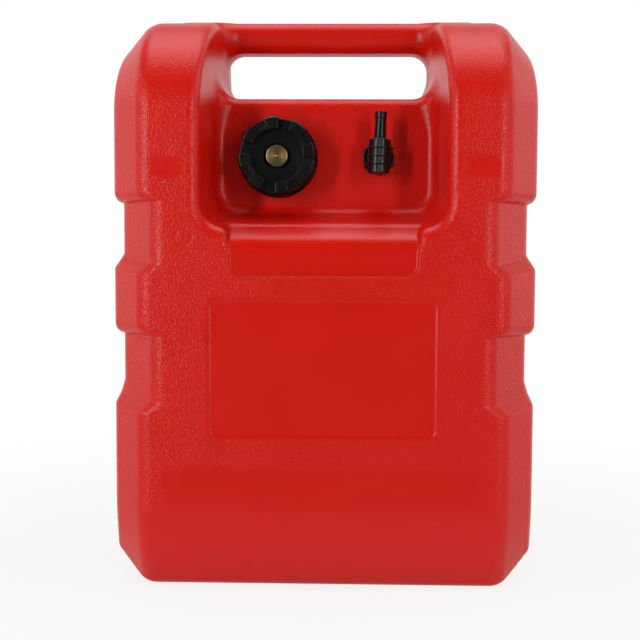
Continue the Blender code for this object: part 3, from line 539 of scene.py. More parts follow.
def raised(tree, height, distance):
    return nodeOut(tree, "ShaderNodeBump", {"Height": height, "Distance": distance, "Strength": 1.0})


def objectPlace(tree, centre=None):
    # Object coordinates, in metres, or counted from a centre
    place = tree.nodes.new("ShaderNodeTexCoord").outputs["Object"]
    if centre is None:
        return place
    return nodeOut(tree, "ShaderNodeMapping", {"Vector": place, "Location": [-c for c in centre]})


# Looks: colours are linear, lengths are in metres, a patch is where the surface is a little uneven
red = {
    "colour": (0.55, 0.0060, 0.0010, 1), "deep": (0.53, 0.0053, 0.0008, 1), "ior": 1.5, "patch": 0.05,
    "pebbleWidth": 0.0013, "pebbleLength": 0.0021, "lean": 0.62, "wander": 0.0008,
    "pebbleHeight": 0.00017, "smooth": 0.28, "grained": 0.32, "uneven": 0.04, "gloss": 0.29,
}
# Elbow and cap: lowest and highest roughness, then gloss. Parts of the cap are duller still. The second
# colour is a painted highlight on sharp edges
black = {
    "colour": (0.0038, 0.0036, 0.0038, 1), "glintColour": (0.010, 0.0095, 0.010, 1), "ior": 1.53,
    "patch": 0.006, "elbow": (0.27, 0.34, 0.24), "cap": (0.28, 0.34, 0.32), "dullRough": 0.25,
    "dullGloss": 0.25, "glintStart": 0.53, "glintFull": 0.64, "stippleWidth": 0.0004, "stippleHeight": 0.00001,
}
brass = {
    "colour": (0.47, 0.34, 0.16, 1), "tarnish": (0.38, 0.26, 0.115, 1), "patch": 0.004,
    "rough": (0.32, 0.38), "stretch": 0.35, "ringPitch": 0.0011, "ringHeight": 0.000004, "ringShade": 0.35,
}
rubber = {"dark": (0.010, 0.010, 0.010, 1), "light": (0.018, 0.018, 0.018, 1), "rough": 0.6,
          "patch": 0.003, "grain": 0.0003, "shader": {"IOR": 1.5}}
nylon = {"dark": (0.70, 0.68, 0.62, 1), "light": (0.78, 0.76, 0.70, 1), "rough": 0.4,
         "patch": 0.01, "grain": 0.0005, "shader": {"IOR": 1.53}}
steel = {"dark": (0.32, 0.32, 0.33, 1), "light": (0.55, 0.55, 0.56, 1), "rough": 0.3,
         "patch": 0.003, "grain": 0.0004, "shader": {"Metallic": 1.0}}
plain = {"uneven": 0.1, "grainShare": 0.04}
weave = {"wires": 60.0, "pitch": 0.0008, "height": 0.00008}


def redMaterial():
    constants = {"IOR": red["ior"], "Specular IOR Level": red["gloss"]}
    material, tree, sockets = newMaterial("redPolyethylene", constants)
    place = objectPlace(tree)
    amount = addNode(tree, "ShaderNodeAttribute", attribute_name="grainAmount").outputs["Fac"]
    grain = effect(tree, "grain", {"Position": place, "Width": red["pebbleWidth"],
                                   "Length": red["pebbleLength"], "Lean": red["lean"],
                                   "Wander": red["wander"]})
    mottle = effect(tree, "mottle", {"Position": place, "Patch": red["patch"]})
    rough = worked(tree, "MULTIPLY_ADD", amount, red["grained"] - red["smooth"], red["smooth"])
    height = worked(tree, "MULTIPLY", grain, amount)
    feed(tree, sockets, {"Base Color": mixed(tree, mottle, red["deep"], red["colour"]),
                         "Roughness": worked(tree, "MULTIPLY_ADD", mottle, red["uneven"], rough),
                         "Normal": raised(tree, height, red["pebbleHeight"])})
    return material


def blackMaterial(name, low, high, gloss):
    material, tree, sockets = newMaterial(name, {"IOR": black["ior"]})
    place = objectPlace(tree)
    mottle = effect(tree, "mottle", {"Position": place, "Patch": black["patch"], "Low": low, "High": high})
    # Sharp edges are drawn in a lighter black: a painted highlight
    edgeGlint = effect(tree, "edgeGlint", {"Start": black["glintStart"], "Full": black["glintFull"]})
    stipple = effect(tree, "grain", {"Position": place, "Width": black["stippleWidth"],
                                     "Length": black["stippleWidth"], "Wander": 0.0})
    # The cap's dish is etched dull and its lugs are polished
    dull = addNode(tree, "ShaderNodeAttribute", attribute_name="dullAmount").outputs["Fac"]
    shine = worked(tree, "MULTIPLY_ADD", dull, gloss * (black["dullGloss"] - 1), gloss)
    feed(tree, sockets, {"Base Color": mixed(tree, edgeGlint, black["colour"], black["glintColour"]),
                         "Roughness": worked(tree, "MULTIPLY_ADD", dull, black["dullRough"], mottle),
                         "Specular IOR Level": shine,
                         "Normal": raised(tree, stipple, black["stippleHeight"])})
    return material


def brassMaterial():
    material, tree, sockets = newMaterial("turnedBrass", {"Metallic": 1.0, "Anisotropic": brass["stretch"]})
    place = objectPlace(tree, (filler["x"] * mm, 0, filler["z"] * mm))
    mottle = effect(tree, "mottle", {"Position": place, "Patch": brass["patch"]})
    rings = effect(tree, "lathe", {"Position": place, "Pitch": brass["ringPitch"]})
    shade = worked(tree, "MULTIPLY", mottle, 1 - brass["ringShade"])
    shade = worked(tree, "MULTIPLY_ADD", rings, brass["ringShade"], shade)
    # The lathe's marks run round the axis, so the shine is drawn out across them
    outward = vectorWorked(tree, "MULTIPLY", place, (1, 0, 1))
    turned = nodeOut(tree, "ShaderNodeVectorTransform", {"Vector": outward}, vector_type="VECTOR",
                     convert_from="OBJECT", convert_to="WORLD")
    low, high = brass["rough"]
    feed(tree, sockets, {"Base Color": mixed(tree, shade, brass["tarnish"], brass["colour"]),
                         "Roughness": worked(tree, "MULTIPLY_ADD", mottle, low - high, high),
                         "Tangent": turned, "Normal": raised(tree, rings, brass["ringHeight"])})
    return material


def plainMaterial(name, look):
    # Rubber, white nylon and steel differ only in their numbers
    material, tree, sockets = newMaterial(name, look["shader"])
    place = objectPlace(tree)
    mottle = effect(tree, "mottle", {"Position": place, "Patch": look["patch"]})
    fine = effect(tree, "grain", {"Position": place, "Width": look["grain"], "Length": look["grain"],
                                  "Wander": 0.0})
    feed(tree, sockets, {"Base Color": mixed(tree, mottle, look["dark"], look["light"]),
                         "Roughness": worked(tree, "MULTIPLY_ADD", mottle, plain["uneven"], look["rough"]),
                         "Normal": raised(tree, fine, look["grain"] * plain["grainShare"])})
    return material


def meshMaterial():
    # Woven wire round the pickup's strainer: two crossing waves
    material = plainMaterial("steelMesh", steel)
    tree = material.node_tree
    centre = (outlet["x"] * mm, 0, outlet["z"] * mm)
    parts = addNode(tree, "ShaderNodeSeparateXYZ", {0: objectPlace(tree, centre)}).outputs
    around = worked(tree, "ARCTAN2", parts["Z"], parts["X"])
    across = worked(tree, "SINE", worked(tree, "MULTIPLY", around, weave["wires"]))
    along = worked(tree, "SINE", worked(tree, "MULTIPLY", parts["Y"], 2 * math.pi / weave["pitch"]))
    wires = worked(tree, "MAXIMUM", across, along)
    tree.links.new(raised(tree, wires, weave["height"]), tree.nodes["Principled BSDF"].inputs["Normal"])
    return material


finishes = {
    "red_polyethylene": redMaterial(),
    "black_nylon": blackMaterial("blackNylon", *black["elbow"]),
    "turned_brass": brassMaterial(),
    "nitrile_rubber": plainMaterial("nitrileRubber", rubber),
    "white_nylon": plainMaterial("whiteNylon", nylon),
    "steel_mesh": meshMaterial(),
}
dullBlack = blackMaterial("dullNylon", *black["cap"])
print("materials done")

# Where the mould is etched: each pair is the distance over which the grain comes or goes
etching = {
    "labelEdge": (-1.5, 0), "scoopEdge": (-1.2, 0.2), "bareEdge": (-1, 1), "bareCorner": 3,
    # Middle and half sizes of the bare places
    "barePlaces": ((-1.1, 80.7, 126.7, 20.6), (-125.5, 343.5, 12.3, 7.9), (128.0, 343.4, 14.2, 8.6)),
    "front": (88, 98), "recessEdge": (-9, -1), "recessLoss": 0.4, "foot": (35, 90), "footShare": 0.45,
}


def grainAmount(x, y, z):
    # All of the mould is etched but the label, the step and the bare places of the front
    bare = np.maximum(smoothStep(-labelDistance(x, z), *etching["labelEdge"]),
                      smoothStep(-scoopField(np.abs(x), y, z), *etching["scoopEdge"]))
    for middleX, middleZ, halfX, halfZ in etching["barePlaces"]:
        place = roundedBox(x - middleX, z - middleZ, halfX, halfZ, etching["bareCorner"])
        bare = np.maximum(bare, smoothStep(-place, *etching["bareEdge"]))
    bare = bare * smoothStep(-y, *etching["front"])
    # Less deep in the recess, which draws out of the mould sideways
    inside = smoothStep(-recessField(np.abs(x), y, z), *etching["recessEdge"])
    low = etching["footShare"] + (1 - etching["footShare"]) * smoothStep(z, *etching["foot"])
    return (1 - bare) * low * (1 - etching["recessLoss"] * inside)


def setAmount(thing, name, values):
    thing.data.attributes.new(name, "FLOAT", "POINT").data.foreach_set("value", values)


# The tank's grid: its ends, its step, and the finer step and its reach at the panel and the parting line
tankGrid = {"x": (-179.3, 180), "y": (-120.1, 121), "z": (-5.2, 486), "step": 2.0,
            "panel": (0.7, 2.2), "parting": (0.5, 1.6)}


def buildTank():
    step, panel = tankGrid["step"] * coarser, tankGrid["panel"]
    label = tank["labelHalfWidth"] - 1
    xSpots = (-label, label, -tank["scoopHalfWidth"], tank["scoopHalfWidth"])
    zSpots = (tank["labelFoot"] + 1, tank["labelFoot"] + tank["labelHeight"] - 1, tank["scoopFoot"])
    lines = (gridLine(*tankGrid["x"], step, xSpots, *panel),
             gridLine(*tankGrid["y"], step, (0,), *tankGrid["parting"]),
             gridLine(*tankGrid["z"], step, zSpots, *panel))
    skin = sculpted("tankMoulding", tankField, lines, tank["triangles"])
    setAmount(skin, "grainAmount", grainAmount(*spotsOf(skin)))
    finish(skin, "tank", "red_polyethylene", "tank_shell")


def finish(thing, body, slot, *nodes, look=None):
    # Gives a piece its material and the body it rides on, and hides the CAD nodes it stands for
    thing.data.materials.clear()
    thing.data.materials.append(look or finishes[slot])
    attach(thing, body)
    if nodes:
        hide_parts(*nodes)


def outwards(spot, turn=0):
    # From a piece's own millimetres, +Z out of the tank and +Y up, to its place in metres
    place = Matrix.Translation(Vector((spot["x"], spot["floor"], spot["z"])) * mm)
    facing = Matrix.Rotation(math.pi / 2, 4, "X") @ Matrix.Rotation(turn, 4, "Z")
    return place @ facing @ Matrix.Scale(mm, 4)


def raisedBy(height):
    # A step along a piece's own axis
    return Matrix.Translation((0, 0, height))


# Lathed and swept pieces: nearest distance of two points in millimetres, and the angle of a sharp edge.
# A rounded corner's middle point lies at a share of its radius from both walls
turning = {"merge": 0.0005, "sharp": 40, "corner": 0.3}


def shaded(mesh):
    mesh.shade_smooth()
    mesh.set_sharp_from_angle(angle=math.radians(turning["sharp"]))


def lathed(name, profile, sides, matrix):
    # A closed profile of radius and height turned about the piece's own axis
    shape = bmesh.new()
    rows = []
    for step in range(sides):
        angle = 2 * math.pi * step / sides
        rows.append([shape.verts.new((r * math.cos(angle), r * math.sin(angle), h)) for r, h in profile])
    for row, following in zip(rows, rows[1:] + rows[:1]):
        for index in range(len(profile)):
            ahead = (index + 1) % len(profile)
            shape.faces.new((row[index], following[index], following[ahead], row[ahead]))
    bmesh.ops.remove_doubles(shape, verts=shape.verts, dist=turning["merge"])
    bmesh.ops.dissolve_degenerate(shape, edges=shape.edges, dist=turning["merge"])
    bmesh.ops.recalc_face_normals(shape, faces=shape.faces)
    mesh = bpy.data.meshes.new(name)
    shape.to_mesh(mesh)
    shape.free()
    mesh.transform(matrix)
    shaded(mesh)
    return placed(name, mesh)


def grown(name, tree, sizes, matrix):
    # Runs a geometry tree with its sizes and keeps the result as a plain mesh in its place
    thing = placed(name, bpy.data.meshes.new(name))
    modifier = thing.modifiers.new("tree", "NODES")
    modifier.node_group = tree
    for item in tree.interface.items_tree:
        if item.in_out == "INPUT" and item.name in sizes:
            modifier[item.identifier] = sizes[item.name]
    frozen(thing)
    thing.data.name = name
    thing.data.transform(matrix)
    shaded(thing.data)
    return thing


def closeTree(tree, given, out, geometry):
    # Every geometry tree ends in real geometry with its material
    real = nodeOut(tree, "GeometryNodeRealizeInstances", {"Geometry": geometry})
    dressed = nodeOut(tree, "GeometryNodeSetMaterial",
                      {"Geometry": real, "Material": given["Material"]})
    tree.links.new(dressed, out["Geometry"])
    return tree


def ridgeProfile(tree, given):
    # Trapezoid on its side: wide at the wall and narrow at the crest
    flank = nodeOut(tree, "GeometryNodeCurvePrimitiveQuadrilateral",
                    {"Height": given["Ridge Height"], "Bottom Width": given["Foot Width"],
                     "Top Width": given["Crest Width"], "Offset": 0.0}, mode="TRAPEZOID")
    turn = nodeOut(tree, "ShaderNodeCombineXYZ", {"Z": given["Facing"]})
    return nodeOut(tree, "GeometryNodeTransform", {"Geometry": flank, "Rotation": turn})


def buildThreadTree():
    # One helical ridge that dies away at both ends
    inputs = {"Radius": 25.0, "Pitch": 6.0, "Turns": 1.8, "Ridge Height": 1.2, "Foot Width": 2.6,
              "Crest Width": 1.0, "Facing": -math.pi / 2, "Steps": 96, "Fade": 9.0, "End Size": 0.12,
              "Material": "Material"}
    tree, given, out = openTree("GeometryNodeTree", "threadRidge", inputs, ("Geometry", "Geometry"))
    height = worked(tree, "MULTIPLY", given["Pitch"], given["Turns"])
    line = nodeOut(tree, "GeometryNodeCurveSpiral",
                   {"Resolution": given["Steps"], "Rotations": given["Turns"], "Height": height,
                    "Start Radius": given["Radius"], "End Radius": given["Radius"], "Reverse": False})
    level = nodeOut(tree, "GeometryNodeSetCurveNormal", {"Curve": line}, mode="Z_UP")
    along = tree.nodes.new("GeometryNodeSplineParameter").outputs["Factor"]
    nearEnd = worked(tree, "MINIMUM", along, worked(tree, "SUBTRACT", 1.0, along))
    size = worked(tree, "MINIMUM", worked(tree, "MULTIPLY", nearEnd, given["Fade"]), 1.0)
    size = worked(tree, "MAXIMUM", size, given["End Size"])
    sized = nodeOut(tree, "GeometryNodeSetCurveRadius", {"Curve": level, "Radius": size})
    profile = ridgeProfile(tree, given)
    swept = nodeOut(tree, "GeometryNodeCurveToMesh",
                    {"Curve": sized, "Profile Curve": profile, "Fill Caps": True})
    return closeTree(tree, given, out, swept)


def buildRingTree():
    # Equal ridged rings, one above the other
    inputs = {"Count": 3, "Spacing": 6.6, "Radius": 9.0, "Ridge Height": 1.0, "Foot Width": 1.6,
              "Crest Width": 0.7, "Facing": -math.pi / 2, "Rounding": 0.3, "Steps": 96,
              "Material": "Material"}
    tree, given, out = openTree("GeometryNodeTree", "ridgedRings", inputs, ("Geometry", "Geometry"))
    circle = nodeOut(tree, "GeometryNodeCurvePrimitiveCircle",
                     {"Resolution": given["Steps"], "Radius": given["Radius"]})
    level = nodeOut(tree, "GeometryNodeSetCurveNormal", {"Curve": circle}, mode="Z_UP")
    profile = ridgeProfile(tree, given)
    soft = nodeOut(tree, "GeometryNodeFilletCurve",
                   {"Curve": profile, "Count": 3, "Radius": given["Rounding"], "Limit Radius": True},
                   mode="POLY")
    ring = nodeOut(tree, "GeometryNodeCurveToMesh", {"Curve": level, "Profile Curve": soft})
    spacing = nodeOut(tree, "ShaderNodeCombineXYZ", {"Z": given["Spacing"]})
    points = nodeOut(tree, "GeometryNodeMeshLine", {"Count": given["Count"], "Offset": spacing})
    copies = nodeOut(tree, "GeometryNodeInstanceOnPoints",
                     {"Points": points, "Instance": ring})
    return closeTree(tree, given, out, copies)


def buildKnurlTree():
    # Upright ridges round a head, each a square bar with one edge outwards
    inputs = {"Count": 48, "Radius": 8.6, "Bar Size": (0.6, 0.6, 3.4), "Material": "Material"}
    tree, given, out = openTree("GeometryNodeTree", "headKnurl", inputs, ("Geometry", "Geometry"))
    points = nodeOut(tree, "GeometryNodeMeshCircle",
                     {"Vertices": given["Count"], "Radius": given["Radius"]})
    bar = nodeOut(tree, "GeometryNodeMeshCube", {"Size": given["Bar Size"]})
    edgeOut = nodeOut(tree, "GeometryNodeTransform",
                      {"Geometry": bar, "Rotation": (0, 0, math.pi / 4)})
    spot = nodeOut(tree, "GeometryNodeInputPosition")
    facing = nodeOut(tree, "FunctionNodeAlignRotationToVector", {"Vector": spot}, axis="X")
    copies = nodeOut(tree, "GeometryNodeInstanceOnPoints",
                     {"Points": points, "Instance": edgeOut, "Rotation": facing})
    return closeTree(tree, given, out, copies)


threadTree = buildThreadTree()
ringTree = buildRingTree()
knurlTree = buildKnurlTree()

buildTank()
print("tank moulding done")


def ridgeSizes(piece, wall, outward, look):
    # Sizes of a ridge on a round wall, out of it or into it, with its foot sunk in a little
    toward = 1 if outward else -1
    radius = wall + toward * (piece["ridgeHeight"] / 2 - piece["ridgeSink"])
    return {"Radius": radius, "Ridge Height": piece["ridgeHeight"], "Foot Width": piece["ridgeFoot"],
            "Crest Width": piece["ridgeCrest"], "Facing": -toward * math.pi / 2, "Material": look}


def joined(name, first, second):
    # Two pieces of one moulding in one mesh
    shape = bmesh.new()
    shape.from_mesh(first.data)
    shape.from_mesh(second.data)
    mesh = bpy.data.meshes.new(name)
    shape.to_mesh(mesh)
    shape.free()
    for thing in (first, second):
        bpy.data.objects.remove(thing)
    return placed(name, mesh)


# Neck with one helical ridge; the cap's own ridge runs in the space between its turns. Each turn
# of the thread lifts the cap as the joints of the CAD do
neck = {
    "outer": 24.2, "bore": 21.0, "root": -3.0, "top": 15.0, "edge": 0.8, "foot": (25.6, 1.4),
    "footSteps": 4, "sides": 144, "pitch": 0.954 * 2 * math.pi, "turns": 1.75, "start": 2.6,
    "ridgeHeight": 1.7, "ridgeFoot": 2.6, "ridgeCrest": 1.1, "ridgeSink": 0.2,
}


def buildNeck():
    outer, bore, top, edge = neck["outer"], neck["bore"], neck["top"], neck["edge"]
    corner = edge * turning["corner"]
    footRadius, footHeight = neck["foot"]
    profile = [(bore, neck["root"]), (footRadius, neck["root"]), (footRadius, 0.0)]
    for step in range(1, neck["footSteps"] + 1):
        angle = step / neck["footSteps"] * math.pi / 2
        radius = footRadius - (footRadius - outer) * math.sin(angle)
        profile.append((radius, footHeight * (1 - math.cos(angle))))
    profile += [(outer, top - edge), (outer - corner, top - corner), (outer - edge, top),
                (bore + edge, top), (bore + corner, top - corner), (bore, top - edge)]
    tube = lathed("neckTube", profile, neck["sides"], outwards(filler))
    sizes = ridgeSizes(neck, outer, True, finishes["red_polyethylene"])
    sizes.update({"Pitch": neck["pitch"], "Turns": neck["turns"]})
    ridge = grown("neckThread", threadTree, sizes, outwards(filler) @ raisedBy(neck["start"]))
    finish(joined("fillerNeck", tube, ridge), "tank", "red_polyethylene")


buildNeck()
print("neck done")

# Screw cap: heights are from the recess floor, angles are in degrees
cap = {
    "skirtRadius": 33.3, "skirtLow": 2.5, "skirtHigh": 5.5, "soft": 0.5, "skirtJoin": 0.6,
    "drumRadius": 30.6, "rim": 26.2, "drumBevel": 0.9,
    "lugs": 4, "lugTurn": 31.0, "lugHalf": 33.5, "lugRadius": 32.8, "lugInner": 22.0, "top": 30.0,
    "lugFlat": 31.1, "lugSlope": 1.6, "lugSoft": 0.45, "lugJoin": 0.3, "innermost": 5.0,
    "notchTurn": -1.5, "notchHalf": 10.5, "notchOuter": 31.0, "notchInner": 25.2, "notchFloor": 27.3,
    "notchAbove": 0.8, "notchSoft": 0.3, "notchJoin": 0.2,
    "dishRim": (28.6, 25.6), "dishFloor": (11.0, 22.0), "dishSoft": 2.0, "well": (10.4, 21.0),
    "dishEdge": 0.35, "inner": 26.2, "ceiling": 17.6, "ceilingSoft": 0.8, "hole": 5.8,
    "ridgeHeight": 1.5, "ridgeFoot": 2.2, "ridgeCrest": 0.9, "ridgeSink": 0.2, "turns": 1.6,
    # Heights below and radii within or beyond which the surface is dull, each over a short way
    "dullDish": ((26.4, 27.0), (29.6, 30.2)), "dullWall": ((27.5, 29.0), (31.6, 32.4)),
    "step": 0.5, "room": 1.3, "roomAbove": 1.2, "triangles": 170000,
}


def fillerPlace(x, y, z):
    u, v = x - filler["x"], z - filler["z"]
    return np.hypot(u, v), np.arctan2(v, u), filler["floor"] - y


def capField(x, y, z):
    radius, angle, height = fillerPlace(x, y, z)
    soft, top = cap["lugSoft"], cap["top"]
    pitch = 2 * math.pi / cap["lugs"]
    around = (angle - math.radians(cap["lugTurn"]) + pitch / 2) % pitch - pitch / 2
    side = (np.abs(around) - math.radians(cap["lugHalf"])) * np.maximum(radius, cap["innermost"])
    notch = (np.abs(around - math.radians(cap["notchTurn"])) - math.radians(cap["notchHalf"])) * radius
    skirtMiddle = (cap["skirtLow"] + cap["skirtHigh"]) / 2
    thick = np.abs(height - skirtMiddle) - skirtMiddle + cap["skirtLow"]
    skirt = roundMax(radius - cap["skirtRadius"], thick, cap["soft"])
    drum = roundMax(radius - cap["drumRadius"], height - cap["rim"], cap["drumBevel"])
    drum = np.maximum(drum, cap["skirtLow"] - height)
    # The lugs' outer edge is bevelled, and each has a pocket that opens outwards
    fall = (radius - cap["lugFlat"]) * cap["lugSlope"] + height - top
    lug = roundMax(radius - cap["lugRadius"], fall / math.hypot(1, cap["lugSlope"]), soft)
    lug = roundMax(lug, height - top, soft)
    lug = roundMax(roundMax(lug, cap["lugInner"] - radius, soft), side, soft)
    soft = cap["notchSoft"]
    pocket = roundMax(cap["notchInner"] - radius, cap["notchFloor"] - height, soft)
    outside = roundMax(cap["notchOuter"] - radius, cap["skirtHigh"] + cap["notchAbove"] - height, soft)
    cut = roundMax(roundMin(pocket, outside, cap["notchJoin"]), notch, soft)
    lug = np.maximum(roundMax(lug, -cut, soft), cap["skirtLow"] - height)
    # The dish runs out between the lugs, which stand round it
    (rimRadius, rimHeight), (floorRadius, floorHeight) = cap["dishRim"], cap["dishFloor"]
    wide, deep = rimRadius - floorRadius, rimHeight - floorHeight
    cone = ((radius - floorRadius) * deep - (height - floorHeight) * wide) / math.hypot(wide, deep)
    dish = roundMax(floorHeight - height, cone, cap["dishSoft"])
    drum = roundMax(drum, -dish, cap["dishEdge"])
    wellRadius, wellFloor = cap["well"]
    drum = roundMax(drum, -np.maximum(radius - wellRadius, wellFloor - height), cap["dishEdge"])
    body = roundMin(roundMin(skirt, drum, cap["skirtJoin"]), lug, cap["lugJoin"])
    inside = roundMax(radius - cap["inner"], height - cap["ceiling"], cap["ceilingSoft"])
    return roundMax(np.maximum(body, -inside), cap["hole"] - radius, cap["notchSoft"])


def fineLines(low, high, step):
    return tuple(np.arange(a, b + step, step) for a, b in zip(low, high))


def dullAmount(radius, height):
    # The bottom of the dish, and the outer wall under the lugs' bevel
    (low, high), (near, far) = cap["dullDish"]
    dish = (1 - smoothStep(height, low, high)) * (1 - smoothStep(radius, near, far))
    (low, high), (near, far) = cap["dullWall"]
    wall = (1 - smoothStep(height, low, high)) * smoothStep(radius, near, far)
    return np.maximum(dish, wall)


def buildCap():
    reach = cap["skirtRadius"] + cap["room"]
    low = (filler["x"] - reach, filler["floor"] - cap["top"] - cap["roomAbove"], filler["z"] - reach)
    high = (filler["x"] + reach, filler["floor"] - cap["skirtLow"] + cap["room"], filler["z"] + reach)
    lines = fineLines(low, high, cap["step"] * coarser)
    shell = sculpted("screwCap", capField, lines, cap["triangles"], sculpting["fineReach"])
    radius, _, height = fillerPlace(*spotsOf(shell))
    setAmount(shell, "dullAmount", dullAmount(radius, height))
    finish(shell, "cap", "black_nylon", "filler_cap", look=dullBlack)
    sizes = ridgeSizes(cap, cap["inner"], False, dullBlack)
    sizes.update({"Pitch": neck["pitch"], "Turns": cap["turns"]})
    matrix = outwards(filler) @ raisedBy(neck["start"] + neck["pitch"] / 2)
    finish(grown("capThread", threadTree, sizes, matrix), "cap", "black_nylon", look=dullBlack)


buildCap()
print("cap done")

# Vent screw: the head's two bands stand proud of a knurled waist, and its face is hollow with a pip
vent = {
    "stem": 2.7, "stemLow": 15.0, "stemEdge": 0.4, "headLow": 22.6, "headHigh": 27.1, "head": 8.8,
    "edge": 0.3, "band": 0.7, "waist": 0.9, "knurlRadius": 8.5, "knurlBar": (0.42, 0.42, 2.8),
    "knurls": 60, "face": 0.08, "faceSteps": 5, "pip": 0.45, "pipHeight": 0.1, "pipTop": 0.12, "sides": 120,
}


def buildVent():
    low, high, head, edge = vent["headLow"], vent["headHigh"], vent["head"], vent["edge"]
    stem, stemLow, waist = vent["stem"], vent["stemLow"], vent["knurlRadius"]
    corner = edge * turning["corner"]
    profile = [(0, stemLow), (stem - vent["stemEdge"], stemLow), (stem, stemLow + vent["stemEdge"]),
               (stem, low), (head - edge, low), (head, low + edge), (head, low + vent["band"]),
               (waist, low + vent["waist"]), (waist, high - vent["waist"]), (head, high - vent["band"]),
               (head, high - edge), (head - corner, high - corner), (head - edge, high),
               (head - 2 * edge, high)]
    pip, bottom = vent["pip"], high - vent["face"]
    for step in range(vent["faceSteps"] - 1, 0, -1):
        share = step / vent["faceSteps"]
        profile.append((pip + (head - 2 * edge - pip) * share, high - vent["face"] * (1 - share ** 2)))
    profile += [(pip, bottom), (pip * 0.5, bottom + vent["pipHeight"]), (0, bottom + vent["pipTop"])]
    screw = lathed("ventScrewTurned", profile, vent["sides"], outwards(filler))
    sizes = {"Count": vent["knurls"], "Radius": waist, "Bar Size": vent["knurlBar"],
             "Material": finishes["turned_brass"]}
    knurl = grown("ventKnurl", knurlTree, sizes, outwards(filler) @ raisedBy((low + high) / 2))
    finish(joined("ventScrew", screw, knurl), "vent", "turned_brass", "vent_screw")


buildVent()
print("vent screw done")

# Hexagon nipple and the elbow that turns on it; heights are from the recess floor. The room is what
# the grid leaves round a piece
nipple = {
    "apothem": 13.0, "low": 2.6, "high": 9.6, "turn": 6.5, "chamfer": 1.2, "chamferSoft": 0.25,
    "soft": 0.35, "shank": 9.0, "shankLow": -22.4, "shankSoft": 0.5, "spigot": 5.0,
    "spigotHigh": 17.8, "spigotSoft": 0.4,
    # Lower and upper height and radius of the o-ring's groove; middle, half height and radius of the bead
    "groove": (10.1, 12.3, 4.1), "bead": (16.7, 0.6, 5.5), "overlap": 1.0,
    "bore": 2.8, "boreSoft": 0.2, "socket": (-12.4, 4.8), "room": 1.2, "roomAcross": 16.3,
    "triangles": 90000,
}
elbow = {
    "turn": -2.1, "axis": 20.3, "barrel": 9.2, "half": 14.0, "soft": 0.8, "low": 9.9,
    "ribs": 3, "ribSpacing": 6.58, "ridgeHeight": 1.55, "ridgeFoot": 1.7, "ridgeCrest": 0.9,
    "ridgeSink": 0.35, "ribRound": 0.4,
    "stem": 5.05, "taper": 0.75, "tip": 37.0, "tipSoft": 0.3, "stemFillet": 2.2,
    "bead": 5.0, "beadLow": 31.4, "beadSoft": 0.5, "beadJoin": 0.15,
    "bore": 2.8, "boreFoot": 3.1, "boreSoft": 0.25, "port": 2.5, "socket": 8.0, "socketJoin": 0.8,
    "spigotBore": 5.3, "spigotEnd": 18.1, "snap": (15.9, 5.8),
    "partingHeight": 0.3, "partingWidth": 0.42, "partingSpan": (-13.6, -12.8),
    "gate": 0.5, "gateSink": 0.7, "gateJoin": 0.3,
    "roomAcross": 11.8, "roomFront": 11.2, "roomBelow": 2.2, "roomBehind": 1.1, "roomTip": 1.4,
    "step": 0.45, "triangles": 120000,
}


def outletPlace(x, y, z, turn):
    u, v = x - outlet["x"], z - outlet["z"]
    cos, sin = math.cos(math.radians(turn)), math.sin(math.radians(turn))
    return u * cos + v * sin, v * cos - u * sin, outlet["floor"] - y


def nippleField(x, y, z):
    u, v, height = outletPlace(x, y, z, nipple["turn"])
    radius = np.hypot(u, v)
    flats = np.abs(u)
    for angle in (math.pi / 3, 2 * math.pi / 3):
        flats = np.maximum(flats, np.abs(u * math.cos(angle) + v * math.sin(angle)))
    hexagon = flats - nipple["apothem"]
    corner = nipple["apothem"] * (2 / math.sqrt(3) - 1)
    length = math.hypot(nipple["chamfer"], corner)
    for out in (height - nipple["high"], nipple["low"] - height):
        hexagon = roundMax(hexagon, out, nipple["soft"])
        cone = ((radius - nipple["apothem"]) * nipple["chamfer"] + out * corner) / length
        hexagon = roundMax(hexagon, cone, nipple["chamferSoft"])
    ends = np.maximum(nipple["shankLow"] - height, height - nipple["low"] - nipple["overlap"])
    shank = roundMax(radius - nipple["shank"], ends, nipple["shankSoft"])
    ends = np.maximum(nipple["high"] - nipple["overlap"] - height, height - nipple["spigotHigh"])
    spigot = roundMax(radius - nipple["spigot"], ends, nipple["spigotSoft"])
    beadMiddle, beadHalf, beadRadius = nipple["bead"]
    bead = roundMax(radius - beadRadius, np.abs(height - beadMiddle) - beadHalf, nipple["spigotSoft"])
    grooveLow, grooveHigh, grooveRadius = nipple["groove"]
    groove = np.maximum(grooveRadius - radius, np.maximum(grooveLow - height, height - grooveHigh))
    spigot = np.maximum(np.minimum(spigot, bead), -groove)
    body = np.minimum(np.minimum(hexagon, shank), spigot)
    socketEnd, socketRadius = nipple["socket"]
    body = roundMax(body, nipple["bore"] - radius, nipple["boreSoft"])
    return np.maximum(body, -np.maximum(radius - socketRadius, height - socketEnd))


